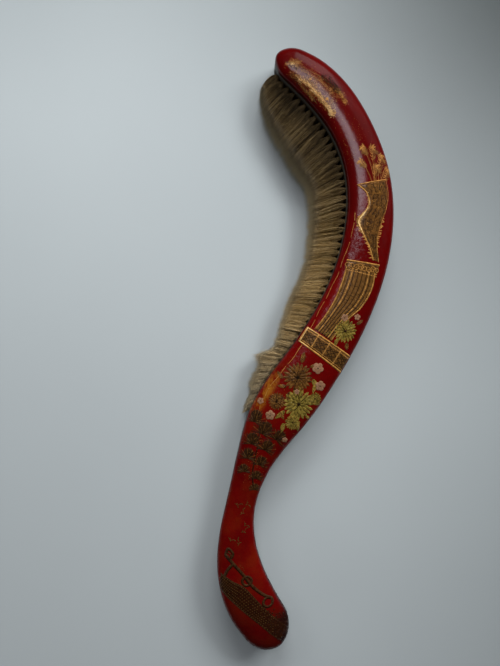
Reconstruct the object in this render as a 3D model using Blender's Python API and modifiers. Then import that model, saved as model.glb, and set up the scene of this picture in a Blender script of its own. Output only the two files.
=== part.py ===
"""Crumb brush: a long S-shaped brush with a domed red lacquered back, a black lower board and three rows
of drawn hair tufts along the concave side of its head. It lies on its flat underside, decorated face up.
Metres, +Z up, origin under the middle of the outline's box."""
import math

import bmesh
import bpy
import numpy as np
from mathutils import Vector

# Plan of the body: the spine is the line down its middle, from the tip of the head to the handle's end
SPINE_LENGTH = 0.3690
TIP_WIDTH = 0.0220
HEAD_WIDTH = 0.0320
NECK_WIDTH = 0.0163
HANDLE_WIDTH = 0.0284
TIP_ROUND = 0.0110
HANDLE_ROUND = 0.0146

# Heights of the two boards, at the head and at the handle
HEAD_BOARD_HEIGHT = 0.0127
HANDLE_BOARD_HEIGHT = 0.0095
BACK_LIP = 0.0012
DOME_RISE = 0.0054

# Lower edges of the black board: a small round at the head, and at the handle a slanted hull that stops
# a little under the joint with the red back
BOARD_EDGE_ROUND = 0.0012
HANDLE_UNDERCUT = 0.0056
HULL_CREST = 0.0006

# Clearance between pieces that touch on the real brush
FIT_GAP = 0.0003

# Bristle stock, the facing slices that carry the hair, and the groove that holds them
STOCK_HEIGHT = 0.0076
STOCK_DEPTH = 0.0050
FACING_DEPTH = 0.0012
FACING_INSET = 0.0002
GROOVE_FLOOR = 0.0016
STOCK_END_MARGIN = 0.0008

# Drawing wires and the grooves they lie in
WIRE_RADIUS = 0.00035
WIRE_END_MARGIN = 0.0012

# Brads through the floor of the groove
BRAD_LENGTH = 0.0056
BRAD_SHANK_RADIUS = 0.0005
BRAD_HEAD_RADIUS = 0.0010
BRAD_HEAD_HEIGHT = 0.0005
BRAD_POINT_LENGTH = 0.0012
BRAD_HEAD_SINK = 0.0002

# Hair: gather draws a tuft's strands together at their roots, stagger lifts the middle one, and spread
# parts the rows at their tips
BRISTLE_LENGTH = 0.0270
STRAND_ROOT_WIDTH = 0.00080
STRAND_TIP_WIDTH = 0.00036
ROW_PITCH = 0.0021
TUFT_GATHER = 0.00024
TUFT_STAGGER = 0.00026
ROW_SPREAD = 0.0005

# The run along the concave edge over which its direction is taken, and the run of a cut past what it cuts
EDGE_SMOOTHING = 0.0020
CUT_OVERRUN = 0.0040

# Counts
GROUPS = 12
COLUMNS_PER_GROUP = 4
STRANDS_PER_TUFT = 3
ROWS = 3
SPINE_STEPS = 360
BODY_STEPS = 46
ROUND_STEPS = 9
DOME_STEPS = 16
CORNER_STEPS = 4
EDGE_STEPS = 300
STOCK_STEPS = 44
WIRE_STEPS = 40
TURNED_STEPS = 12

# Where the tufts start and stop, where the head's board height gives way to the handle's, where the hull
# starts, and how much of the half width it may take
TUFT_START_SHARE = 0.0085
TUFT_END_SHARE = 0.6370
HEAD_END_SHARE = 0.600
HANDLE_START_SHARE = 0.780
HULL_START_SHARE = 0.665
UNDERCUT_LIMIT_SHARE = 0.60
BRAD_PLACE_SHARES = (0.08, 0.36, 0.64, 0.92)

# Powers of the superellipses in the sections: the dome is a little flatter on top than an ellipse, the
# edge round is one, and the hull is nearly a straight slant
DOME_POWER = 2.15
ROUND_POWER = 2.0
HULL_POWER = 1.30

# Edges that turn by more than this many degrees stay sharp
BACK_SHARP_TURN = 50
BOARD_SHARP_TURN = 40
STOCK_SHARP_TURN = 30

# Points of a turned piece closer than this share of the clearance are one
MERGE_SHARE = 0.03

# Direction of the spine in degrees from straight towards the handle (-Y), positive towards +X,
# by share of the spine's length
HEADING_SHARES = (
    (0.000, 66.0),
    (0.104, 39.8),
    (0.188, 21.0),
    (0.273, 1.3),
    (0.358, -14.2),
    (0.442, -25.8),
    (0.527, -33.9),
    (0.570, -35.8),
    (0.612, -34.2),
    (0.655, -27.7),
    (0.698, -22.0),
    (0.784, -9.8),
    (0.869, 11.2),
    (0.955, 36.8),
    (1.000, 51.0),
)

# Width of the body: share of the spine's length, the named width, and the share of it
WIDTHS = {"tip": TIP_WIDTH, "head": HEAD_WIDTH, "neck": NECK_WIDTH, "handle": HANDLE_WIDTH}
WIDTH_SHARES = (
    (0.000, "tip", 0.69),
    (0.033, "tip", 0.85),
    (0.061, "tip", 0.97),
    (0.104, "tip", 1.02),
    (0.146, "tip", 1.00),
    (0.188, "tip", 1.01),
    (0.273, "head", 0.775),
    (0.358, "head", 0.838),
    (0.442, "head", 0.886),
    (0.527, "head", 0.954),
    (0.578, "head", 1.00),
    (0.611, "head", 0.977),
    (0.634, "head", 0.922),
    (0.655, "head", 0.839),
    (0.677, "head", 0.738),
    (0.698, "head", 0.643),
    (0.720, "neck", 1.134),
    (0.741, "neck", 1.034),
    (0.762, "neck", 1.00),
    (0.785, "neck", 1.024),
    (0.826, "handle", 0.710),
    (0.869, "handle", 0.875),
    (0.912, "handle", 0.985),
    (0.933, "handle", 1.00),
    (0.955, "handle", 0.975),
    (1.000, "handle", 0.94),
)

# Length of the hair as shares of the longest, by share of the tuft row's length
HAIR_LENGTH_SHARES = (
    (0.00, 0.46),
    (0.05, 0.75),
    (0.09, 0.90),
    (0.15, 1.00),
    (0.22, 1.035),
    (0.30, 0.88),
    (0.38, 0.81),
    (0.46, 0.765),
    (0.55, 0.68),
    (0.66, 0.675),
    (0.75, 0.565),
    (0.80, 0.475),
    (0.84, 0.485),
    (0.92, 0.355),
    (1.00, 0.22),
)

# Direction of the hair in degrees below -X, by share of the tuft row's length
HAIR_HEADING_SHARES = (
    (0.00, 44.0),
    (0.06, 46.0),
    (0.18, 45.0),
    (0.22, 43.0),
    (0.26, 40.0),
    (0.30, 33.0),
    (0.34, 25.0),
    (0.42, 16.0),
    (0.50, 9.0),
    (0.60, 4.0),
    (0.70, -5.0),
    (0.78, -14.0),
    (0.83, -12.0),
    (0.88, 2.0),
    (0.94, 18.0),
    (1.00, 28.0),
)

# Colour, roughness and metallic value of each material
FINISHES = {
    "red_lacquer": ((0.23, 0.012, 0.010, 1.0), 0.18, 0.0),
    "black_lacquer": ((0.012, 0.010, 0.009, 1.0), 0.30, 0.0),
    "stock_wood": ((0.030, 0.022, 0.016, 1.0), 0.60, 0.0),
    "brass": ((0.48, 0.33, 0.13, 1.0), 0.35, 1.0),
    "brad_steel": ((0.22, 0.20, 0.18, 1.0), 0.45, 1.0),
    "hair": ((0.085, 0.058, 0.028, 1.0), 0.60, 0.0),
}

for old in list(bpy.data.objects):
    bpy.data.objects.remove(old, do_unlink=True)


def new_collection(name):
    """Make a collection under the scene's own."""
    collection = bpy.data.collections.new(name)
    bpy.context.scene.collection.children.link(collection)
    return collection


PARTS = new_collection("crumb_brush")
CUTTERS = new_collection("cutters")


def material(name):
    """Principled material with the finish of that name."""
    found = bpy.data.materials.get(name)
    if found:
        return found
    colour, roughness, metallic = FINISHES[name]
    made = bpy.data.materials.new(name)
    made.use_nodes = True
    made.diffuse_color = colour
    shader = made.node_tree.nodes["Principled BSDF"]
    shader.inputs["Base Color"].default_value = colour
    shader.inputs["Roughness"].default_value = roughness
    shader.inputs["Metallic"].default_value = metallic
    return made


def add_piece(name, data, finish):
    """Put a mesh or curve in the parts collection with its own finish."""
    piece = bpy.data.objects.new(name, data)
    piece.data.materials.append(material(finish))
    PARTS.objects.link(piece)
    return piece


def add_cutter(name, data):
    """Put a mesh in the cutters collection, out of renders."""
    cutter = bpy.data.objects.new(name, data)
    cutter.hide_render = True
    cutter.display_type = 'WIRE'
    CUTTERS.objects.link(cutter)
    return cutter


def cut(piece, cutter):
    """Cut one mesh from another."""
    modifier = piece.modifiers.new("cut_" + cutter.name, 'BOOLEAN')
    modifier.operation = 'DIFFERENCE'
    modifier.solver = 'EXACT'
    modifier.object = cutter


def read_table(table, place):
    """Smooth curve through a table of rows of place and value, read at one place."""
    last = len(table) - 1
    index = 0
    while index < last - 1 and place > table[index + 1][0]:
        index += 1

    def slope(at):
        low = table[max(at - 1, 0)]
        high = table[min(at + 1, last)]
        return (high[1] - low[1]) / (high[0] - low[0])

    start, value = table[index]
    end, next_value = table[index + 1]
    span = end - start
    t = (place - start) / span
    rise = 3 * t * t - 2 * t * t * t
    lead = t * (1 - t) * (1 - t) * span * slope(index)
    trail = t * t * (t - 1) * span * slope(index + 1)
    return value * (1 - rise) + next_value * rise + lead + trail


def smooth_step(place, low, high):
    """0 before low, 1 after high, and a smooth rise between."""
    t = min(max((place - low) / (high - low), 0), 1)
    return t * t * (3 - 2 * t)


def trace_spine():
    """Points down the spine, from the tip of the head, by adding up short steps along its heading."""
    step = SPINE_LENGTH / SPINE_STEPS
    point = Vector((0, 0))
    points = [point.copy()]
    for index in range(SPINE_STEPS):
        heading = math.radians(read_table(HEADING_SHARES, (index + 0.5) / SPINE_STEPS))
        point = point + Vector((math.sin(heading), -math.cos(heading))) * step
        points.append(point.copy())
    return points


def across(place):
    """Unit vector across the spine, towards the convex side of the head."""
    heading = math.radians(read_table(HEADING_SHARES, place))
    return Vector((math.cos(heading), math.sin(heading)))


WIDTH_TABLE = tuple((place, WIDTHS[name] * share) for place, name, share in WIDTH_SHARES)


def end_lean(place):
    """How far a place is into a round end: -1 at the tip's end, 1 at the handle's end and 0 between."""
    tip = (TIP_ROUND - place * SPINE_LENGTH) / TIP_ROUND
    handle = (HANDLE_ROUND - (1 - place) * SPINE_LENGTH) / HANDLE_ROUND
    return min(max(handle, 0), 1) - min(max(tip, 0), 1)


def full_half_width(place):
    """Half the body's width at a share of the spine, before its ends are rounded."""
    return read_table(WIDTH_TABLE, place) / 2


def half_width(place):
    """Half the body's width at a share of the spine, round at both ends."""
    return full_half_width(place) * math.sqrt(1 - end_lean(place) ** 2)


RAW_SPINE = trace_spine()


def raw_spine_at(place):
    """Point of the spine at a share of its length, before it is centred."""
    run = min(max(place, 0), 1) * SPINE_STEPS
    index = min(int(run), SPINE_STEPS - 1)
    return RAW_SPINE[index].lerp(RAW_SPINE[index + 1], run - index)


def outline_centre():
    """Middle of the box round the body's outline."""
    xs = []
    ys = []
    for index in range(SPINE_STEPS + 1):
        place = index / SPINE_STEPS
        reach = across(place) * half_width(place)
        for point in (raw_spine_at(place) + reach, raw_spine_at(place) - reach):
            xs.append(point.x)
            ys.append(point.y)
    return Vector(((min(xs) + max(xs)) / 2, (min(ys) + max(ys)) / 2))


CENTRE = outline_centre()


def spine_at(place):
    """Point of the spine at a share of its length."""
    return raw_spine_at(place) - CENTRE


def board_height(place):
    """Height of the black board: full at the head, lower at the handle."""
    share = smooth_step(place, HEAD_END_SHARE, HANDLE_START_SHARE)
    return HEAD_BOARD_HEIGHT + (HANDLE_BOARD_HEIGHT - HEAD_BOARD_HEIGHT) * share


def body_places():
    """Shares of the spine for the body's sections, closer together in the round ends."""
    tip = TIP_ROUND / SPINE_LENGTH
    handle = HANDLE_ROUND / SPINE_LENGTH
    places = []
    for index in range(1, ROUND_STEPS):
        places.append(tip * (1 - math.cos(math.pi / 2 * index / ROUND_STEPS)))
    for index in range(BODY_STEPS + 1):
        places.append(tip + (1 - tip - handle) * index / BODY_STEPS)
    for index in reversed(range(1, ROUND_STEPS)):
        places.append(1 - handle * (1 - math.cos(math.pi / 2 * index / ROUND_STEPS)))
    return places


def loft(rings):
    """Closed mesh through rings of as many points each, with flat ends."""
    bm = bmesh.new()
    loops = [[bm.verts.new(point) for point in ring] for ring in rings]
    count = len(rings[0])
    for near, far in zip(loops, loops[1:]):
        for index in range(count):
            follow = (index + 1) % count
            bm.faces.new((near[index], near[follow], far[follow], far[index]))
    bm.faces.new(list(reversed(loops[0])))
    bm.faces.new(loops[-1])
    bmesh.ops.recalc_face_normals(bm, faces=bm.faces)
    mesh = bpy.data.meshes.new("loft")
    bm.to_mesh(mesh)
    bm.free()
    return mesh


def shade(mesh, angle):
    """Smooth shading, with edges sharper than the angle kept."""
    mesh.shade_smooth()
    mesh.set_sharp_from_angle(angle=math.radians(angle))


def section_point(place, side, height, ahead=0):
    """World point at a distance across the spine, a height, and a distance ahead along the spine."""
    over = across(place)
    flat = spine_at(place) + over * side + Vector((over.y, -over.x)) * ahead
    return Vector((flat.x, flat.y, height))


def dome_rise(place):
    """Rise of the dome: it follows the width, and dies away in the round ends."""
    return DOME_RISE * math.sqrt(2 * half_width(place) / HEAD_WIDTH)


def red_back_ring(place):
    """Section of the upper board: flat below, a short upright lip and a dome above."""
    reach = half_width(place)
    base = board_height(place) + FIT_GAP
    lip = BACK_LIP * min(1, 2 * reach / TIP_WIDTH)
    ring = [section_point(place, -reach, base)]
    power = 2 / DOME_POWER
    for index in range(DOME_STEPS + 1):
        angle = math.pi * (1 - index / DOME_STEPS)
        side = math.copysign(abs(math.cos(angle)) ** power, math.cos(angle))
        rise = abs(math.sin(angle)) ** power
        ring.append(section_point(place, reach * side, base + lip + dome_rise(place) * rise))
    ring.append(section_point(place, reach, base))
    return ring


def underbody_corner(place):
    """Lower corner of the board's section, as offsets inwards and heights, from its side to its underside.

    It is a small round along the head, and grows into the slanted hull of the handle."""
    share = smooth_step(place, HULL_START_SHARE, HANDLE_START_SHARE)
    width = BOARD_EDGE_ROUND + (HANDLE_UNDERCUT - BOARD_EDGE_ROUND) * share
    width = min(width, full_half_width(place) * UNDERCUT_LIMIT_SHARE)
    height = BOARD_EDGE_ROUND + (board_height(place) - HULL_CREST - BOARD_EDGE_ROUND) * share
    power = ROUND_POWER + (HULL_POWER - ROUND_POWER) * share
    corner = []
    for index in range(CORNER_STEPS + 1):
        angle = math.pi / 2 * index / CORNER_STEPS
        inset = width * (1 - max(math.cos(angle), 0) ** (2 / power))
        corner.append((inset, height * (1 - math.sin(angle) ** (2 / power))))
    return corner


def underbody_ring(place):
    """Section of the lower board: upright at the head, a hull at the handle, drawn in at both ends."""
    reach = half_width(place)
    top = board_height(place)
    lean = end_lean(place)
    corner = []
    for inset, height in underbody_corner(place):
        corner.append((inset * math.sqrt(1 - lean * lean), -inset * lean, height))
    ring = [section_point(place, -reach, top)]
    for inset, ahead, height in corner:
        ring.append(section_point(place, inset - reach, height, ahead))
    for inset, ahead, height in reversed(corner):
        ring.append(section_point(place, reach - inset, height, ahead))
    ring.append(section_point(place, reach, top))
    return ring


def concave_edge():
    """Points along the concave edge a little past both ends of the tufts, with their runs and places."""
    overrun = (STOCK_END_MARGIN + FIT_GAP + CUT_OVERRUN) / SPINE_LENGTH
    low = max(TUFT_START_SHARE - overrun, 0)
    high = TUFT_END_SHARE + overrun
    places = [low + (high - low) * index / EDGE_STEPS for index in range(EDGE_STEPS + 1)]
    points = [spine_at(place) - across(place) * half_width(place) for place in places]
    runs = [0]
    for near, far in zip(points, points[1:]):
        runs.append(runs[-1] + (far - near).length)
    return points, runs, places


EDGE_POINTS, EDGE_RUNS, EDGE_PLACES = concave_edge()
EDGE_XS = [point.x for point in EDGE_POINTS]
EDGE_YS = [point.y for point in EDGE_POINTS]
ROW_START = float(np.interp(TUFT_START_SHARE, EDGE_PLACES, EDGE_RUNS))
ROW_END = float(np.interp(TUFT_END_SHARE, EDGE_PLACES, EDGE_RUNS))
ROW_LENGTH = ROW_END - ROW_START
COLUMN_PITCH = ROW_LENGTH / (GROUPS * COLUMNS_PER_GROUP)


def edge_position(run):
    """Point of the concave edge at a run along it."""
    return Vector((np.interp(run, EDGE_RUNS, EDGE_XS), np.interp(run, EDGE_RUNS, EDGE_YS)))


def edge_at(run):
    """Point of the concave edge at a run along it, and the unit vector from it into the body."""
    here = edge_position(run)
    along = (edge_position(run + EDGE_SMOOTHING) - edge_position(run - EDGE_SMOOTHING)).normalized()
    return here, Vector((-along.y, along.x))


def edge_point(run, depth, height):
    """World point at a run along the concave edge, a depth into the body and a height."""
    here, inward = edge_at(run)
    flat = here + inward * depth
    return Vector((flat.x, flat.y, height))


STOCK_BOTTOM = GROOVE_FLOOR + FIT_GAP
STOCK_TOP = STOCK_BOTTOM + STOCK_HEIGHT
FACING_BACK = FACING_INSET + FACING_DEPTH
STOCK_FRONT = FACING_BACK + FIT_GAP
STOCK_BACK = STOCK_FRONT + STOCK_DEPTH
ROW_MIDDLE = (STOCK_BOTTOM + STOCK_TOP) / 2
ROW_HEIGHTS = tuple(ROW_MIDDLE + ROW_PITCH * (row - (ROWS - 1) / 2) for row in range(ROWS))


def strip(start, end, steps, outline):
    """Solid that follows the concave edge between two runs, with an outline of depths and heights."""
    rings = []
    for index in range(steps + 1):
        run = start + (end - start) * index / steps
        rings.append([edge_point(run, depth, height) for depth, height in outline])
    return loft(rings)


def stock_outline():
    """Section of the stock: a plain front and one square wire groove at the back for each row."""
    half = WIRE_RADIUS + FIT_GAP
    bottom = STOCK_BACK - 2 * half
    outline = [(STOCK_FRONT, STOCK_TOP), (STOCK_FRONT, STOCK_BOTTOM), (STOCK_BACK, STOCK_BOTTOM)]
    for height in ROW_HEIGHTS:
        outline.append((STOCK_BACK, height - half))
        outline.append((bottom, height - half))
        outline.append((bottom, height + half))
        outline.append((STOCK_BACK, height + half))
    outline.append((STOCK_BACK, STOCK_TOP))
    return outline


def groove_outline():
    """Section of the groove in the black board: the facing and the stock with a gap all round."""
    back = STOCK_BACK + FIT_GAP
    top = STOCK_TOP + FIT_GAP
    return [(-CUT_OVERRUN, top), (-CUT_OVERRUN, GROOVE_FLOOR), (back, GROOVE_FLOOR), (back, top)]


def turned(points):
    """Mesh holding a profile of radius and height, to be turned about Z."""
    bm = bmesh.new()
    verts = [bm.verts.new((radius, 0, height)) for radius, height in points]
    for near, far in zip(verts, verts[1:]):
        bm.edges.new((near, far))
    mesh = bpy.data.meshes.new("profile")
    bm.to_mesh(mesh)
    bm.free()
    return mesh


def turn(piece):
    """Turn a profile about Z."""
    modifier = piece.modifiers.new("turn", 'SCREW')
    modifier.angle = 2 * math.pi
    modifier.steps = TURNED_STEPS
    modifier.render_steps = TURNED_STEPS
    modifier.use_merge_vertices = True
    modifier.merge_threshold = FIT_GAP * MERGE_SHARE
    modifier.use_smooth_shade = True


def brad_profile(gap):
    """Outer side of a brad from its point down to its head, grown by a gap."""
    shank = BRAD_SHANK_RADIUS + gap
    head = BRAD_HEAD_RADIUS + gap
    low = BRAD_HEAD_SINK if gap == 0 else -CUT_OVERRUN
    shoulder = BRAD_HEAD_SINK + BRAD_HEAD_HEIGHT + gap
    top = BRAD_HEAD_SINK + BRAD_LENGTH + gap
    point = [(0, top), (shank, top - BRAD_POINT_LENGTH), (shank, shoulder)]
    return point + [(head, shoulder), (head, low), (0, low)]


def make_brads():
    """Brads and the cutters of their holes."""
    cutters = []
    for index, share in enumerate(BRAD_PLACE_SHARES):
        place = edge_point(ROW_START + ROW_LENGTH * share, (STOCK_FRONT + STOCK_BACK) / 2, 0)
        brad = add_piece("stock_brad_%d" % (index + 1), turned(brad_profile(0)), "brad_steel")
        brad.location = place
        turn(brad)
        cutter = add_cutter("brad_hole_%d" % (index + 1), turned(brad_profile(FIT_GAP)))
        cutter.location = place
        turn(cutter)
        cutters.append(cutter)
    return cutters


def make_boards(brad_cutters):
    """Red upper board, and black lower board with its groove and brad holes."""
    places = body_places()
    red = add_piece("red_back", loft([red_back_ring(place) for place in places]), "red_lacquer")
    shade(red.data, BACK_SHARP_TURN)
    black = add_piece("black_underbody", loft([underbody_ring(place) for place in places]), "black_lacquer")
    shade(black.data, BOARD_SHARP_TURN)
    end = STOCK_END_MARGIN + FIT_GAP
    channel = strip(ROW_START - end, ROW_END + end, STOCK_STEPS, groove_outline())
    groove = add_cutter("stock_groove", channel)
    cut(black, groove)
    for cutter in brad_cutters:
        cut(black, cutter)


def make_stock(brad_cutters):
    """Strip of wood in the groove, behind the facing, with its wire grooves and brad holes."""
    start = ROW_START - STOCK_END_MARGIN
    end = ROW_END + STOCK_END_MARGIN
    stock = add_piece("bristle_stock", strip(start, end, STOCK_STEPS, stock_outline()), "stock_wood")
    shade(stock.data, STOCK_SHARP_TURN)
    for cutter in brad_cutters:
        cut(stock, cutter)


def make_wires():
    """One drawing wire along the back of each row of tufts."""
    start = ROW_START - STOCK_END_MARGIN + WIRE_END_MARGIN
    end = ROW_END + STOCK_END_MARGIN - WIRE_END_MARGIN
    depth = STOCK_BACK - WIRE_RADIUS - FIT_GAP
    for name, height in zip(("bottom", "middle", "top"), ROW_HEIGHTS):
        curve = bpy.data.curves.new("wire", 'CURVE')
        curve.dimensions = '3D'
        curve.bevel_depth = WIRE_RADIUS
        curve.bevel_resolution = 1
        curve.use_fill_caps = True
        spline = curve.splines.new('POLY')
        spline.points.add(WIRE_STEPS)
        for index in range(WIRE_STEPS + 1):
            point = edge_point(start + (end - start) * index / WIRE_STEPS, depth, height)
            spline.points[index].co = (point.x, point.y, point.z, 1)
        add_piece("draw_wire_" + name, curve, "brass")


def hair_tip(run, height):
    """Tip of the strand whose root is at a run and height."""
    share = min(max((run - ROW_START) / ROW_LENGTH, 0), 1)
    length = BRISTLE_LENGTH * read_table(HAIR_LENGTH_SHARES, share)
    heading = math.radians(read_table(HAIR_HEADING_SHARES, share))
    root = edge_point(run, FACING_INSET, height)
    middle = ROW_HEIGHTS[ROWS // 2]
    lift = (height - middle) / ROW_PITCH * ROW_SPREAD
    return root + Vector((-math.cos(heading) * length, -math.sin(heading) * length, lift))


def facing_grid(first_run, last_run, columns):
    """Facing slice as a closed mesh whose front is a grid of one cell for each strand."""
    bm = bmesh.new()
    levels = [STOCK_BOTTOM] + [height + ROW_PITCH / 2 for height in ROW_HEIGHTS[:-1]] + [STOCK_TOP]
    front = []
    back = []
    for index in range(columns + 1):
        run = first_run + (last_run - first_run) * index / columns
        front.append([bm.verts.new(edge_point(run, FACING_INSET, height)) for height in levels])
        bottom = bm.verts.new(edge_point(run, FACING_BACK, levels[0]))
        top = bm.verts.new(edge_point(run, FACING_BACK, levels[-1]))
        back.append([bottom, top])
    cells = []
    for index in range(columns):
        near = front[index]
        far = front[index + 1]
        for row in range(ROWS):
            face = bm.faces.new((near[row], near[row + 1], far[row + 1], far[row]))
            cells.append((index, row, face))
        bm.faces.new((back[index][1], back[index][0], back[index + 1][0], back[index + 1][1]))
        bm.faces.new((near[0], far[0], back[index + 1][0], back[index][0]))
        bm.faces.new((near[-1], back[index][1], back[index + 1][1], far[-1]))
    bm.faces.new([back[0][0], back[0][1]] + list(reversed(front[0])))
    bm.faces.new([back[-1][1], back[-1][0]] + front[-1])
    return bm, cells


def place_quad(face, centre, side, up, width):
    """Move a face's four points to a small square round a centre."""
    middle = face.calc_center_median()
    for vert in face.verts:
        offset = vert.co - middle
        across_share = math.copysign(1, offset.dot(side))
        up_share = math.copysign(1, offset.dot(up))
        vert.co = centre + (side * across_share + up * up_share) * (width / 2)


def make_tuft_group(number):
    """Facing slice with four columns of tufts: each cell of its front is drawn in to a strand's root and
    drawn out to the strand's tip."""
    pitch = COLUMN_PITCH / STRANDS_PER_TUFT
    first_run = ROW_START + COLUMN_PITCH * COLUMNS_PER_GROUP * number
    last_run = first_run + COLUMN_PITCH * COLUMNS_PER_GROUP
    columns = COLUMNS_PER_GROUP * STRANDS_PER_TUFT
    bm, cells = facing_grid(first_run + FIT_GAP / 2, last_run - FIT_GAP / 2, columns)
    faces = [face for column, row, face in cells]
    bmesh.ops.inset_individual(bm, faces=faces, thickness=STRAND_ROOT_WIDTH / 4)
    up = Vector((0, 0, 1))
    roots = []
    for column, row, face in cells:
        member = column % STRANDS_PER_TUFT - (STRANDS_PER_TUFT - 1) / 2
        run = first_run + pitch * (column + 0.5) - member * TUFT_GATHER
        stagger = TUFT_STAGGER * (1 - 2 * abs(member))
        height = ROW_HEIGHTS[row] + stagger
        root = edge_point(run, FACING_INSET, height)
        here, inward = edge_at(run)
        side = Vector((-inward.y, inward.x, 0))
        place_quad(face, root, side, up, STRAND_ROOT_WIDTH)
        tip = hair_tip(first_run + pitch * (column + 0.5), height)
        roots.append((tip, side))
    drawn = bmesh.ops.extrude_discrete_faces(bm, faces=faces)["faces"]
    for face, (tip, side) in zip(drawn, roots):
        place_quad(face, tip, side, up, STRAND_TIP_WIDTH)
    mesh = bpy.data.meshes.new("tufts")
    bmesh.ops.recalc_face_normals(bm, faces=bm.faces)
    bm.to_mesh(mesh)
    bm.free()
    add_piece("bristle_tufts_%02d" % (number + 1), mesh, "hair")


def main():
    """Make every piece of the brush."""
    brad_cutters = make_brads()
    make_boards(brad_cutters)
    make_stock(brad_cutters)
    make_wires()
    for number in range(GROUPS):
        make_tuft_group(number)


main()
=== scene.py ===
"""Looks of a lacquered crumb brush: a domed red back with gilt ornament over a black board,
and a curved row of soft brown hair along one edge. Lengths are in metres."""
import math

import bpy
import numpy as np
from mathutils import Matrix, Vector


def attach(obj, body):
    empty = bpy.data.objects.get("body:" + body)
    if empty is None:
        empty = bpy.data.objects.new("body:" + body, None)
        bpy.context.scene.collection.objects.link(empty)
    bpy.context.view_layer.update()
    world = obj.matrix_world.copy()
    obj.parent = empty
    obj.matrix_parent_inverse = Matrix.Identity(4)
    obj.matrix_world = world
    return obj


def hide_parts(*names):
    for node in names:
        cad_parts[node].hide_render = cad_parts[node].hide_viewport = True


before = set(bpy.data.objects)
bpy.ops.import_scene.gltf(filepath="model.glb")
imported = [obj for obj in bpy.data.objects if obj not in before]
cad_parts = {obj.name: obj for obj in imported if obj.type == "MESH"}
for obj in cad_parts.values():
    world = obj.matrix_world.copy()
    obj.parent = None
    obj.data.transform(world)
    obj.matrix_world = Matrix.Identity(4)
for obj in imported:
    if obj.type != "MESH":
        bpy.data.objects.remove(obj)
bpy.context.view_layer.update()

MM = 0.001

# Driving sizes of the body, the same as the solids have
SPINE_LENGTH = 0.3690
TIP_WIDTH = 0.0220
HEAD_WIDTH = 0.0320
NECK_WIDTH = 0.0163
HANDLE_WIDTH = 0.0284
TIP_ROUND = 0.0110
HANDLE_ROUND = 0.0146
HEAD_BOARD_HEIGHT = 0.0127
HANDLE_BOARD_HEIGHT = 0.0095
BACK_LIP = 0.0012
DOME_RISE = 0.0054
DOME_POWER = 2.15
FIT_GAP = 0.0003
HEAD_END_SHARE = 0.600
HANDLE_START_SHARE = 0.780

# Sections of the back and of the strip behind the tufts
END_SECTIONS = 16
MIDDLE_SECTIONS = 300
DOME_STEPS = 44
SHARP_ANGLE = math.radians(50)
FACING_SECTIONS = 260

# The stock's face and the three rows of tufts
STOCK_HEIGHT = 0.0076
GROOVE_FLOOR = 0.0016
FACING_DEPTH = 0.0012
FACING_INSET = 0.0002
ROW_PITCH = 0.0021
ROWS = 3
GROUPS = 12
COLUMNS_PER_GROUP = 4
TUFT_START_SHARE = 0.0085
TUFT_END_SHARE = 0.6370
EDGE_SMOOTHING = 0.0020

# Hair
HAIR_SEED = 700
BRISTLE_LENGTH = 0.0270
HAIRS_PER_TUFT = 288
HAIR_STEP_SHARES = (0.0, 0.05, 0.12, 0.22, 0.38, 0.58, 0.79, 1.0)
HAIR_RADIUS = 0.055 * MM
HAIR_SINK = 0.6 * MM
TUFT_HALF_RUN = 1.20 * MM
TUFT_HALF_HEIGHT = 0.95 * MM
TUFT_OPEN_SHARE = 2.46
ROW_STAGGER_SHARE = 0.10
CLUMPS = 24
STRAY_SHARE = 0.045
LOWEST_HAIR = 0.4 * MM
# Weights of a clump's place and of a hair's own place, at the root and further out
ROOT_SHARES = (0.62, 0.38)
OPEN_SHARES = (0.82, 0.30)
# Degrees of turn by tuft, by clump, by hair, for a stray hair and in a hair's waves
TUFT_TURN = 2.6
CLUMP_TURN = 2.6
OWN_TURN = 2.4
STRAY_TURN = 8.0
WAVE_TURN = 3.0
# Direction of the hair from the body; the black lacquer's side that faces it is painted lighter, as painted
# fill light
HAIR_SIDE = (-0.85, -0.50, 0.0)

# Heading of the spine in degrees from -Y towards +X, by share of its length
HEADING_SHARES = (
    (0.000, 66.0), (0.104, 39.8), (0.188, 21.0), (0.273, 1.3), (0.358, -14.2), (0.442, -25.8),
    (0.527, -33.9), (0.570, -35.8), (0.612, -34.2), (0.655, -27.7), (0.698, -22.0), (0.784, -9.8),
    (0.869, 11.2), (0.955, 36.8), (1.000, 51.0),
)

# Width by share of the spine, as a share of the width named
WIDTHS = {"tip": TIP_WIDTH, "head": HEAD_WIDTH, "neck": NECK_WIDTH, "handle": HANDLE_WIDTH}
WIDTH_SHARES = (
    (0.000, "tip", 0.69), (0.033, "tip", 0.85), (0.061, "tip", 0.97), (0.104, "tip", 1.02),
    (0.146, "tip", 1.00), (0.188, "tip", 1.01), (0.273, "head", 0.775), (0.358, "head", 0.838),
    (0.442, "head", 0.886), (0.527, "head", 0.954), (0.578, "head", 1.00), (0.611, "head", 0.977),
    (0.634, "head", 0.922), (0.655, "head", 0.839), (0.677, "head", 0.738), (0.698, "head", 0.643),
    (0.720, "neck", 1.134), (0.741, "neck", 1.034), (0.762, "neck", 1.00), (0.785, "neck", 1.024),
    (0.826, "handle", 0.71), (0.869, "handle", 0.875), (0.912, "handle", 0.985),
    (0.933, "handle", 1.00), (0.955, "handle", 0.975), (1.000, "handle", 0.94),
)

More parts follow.
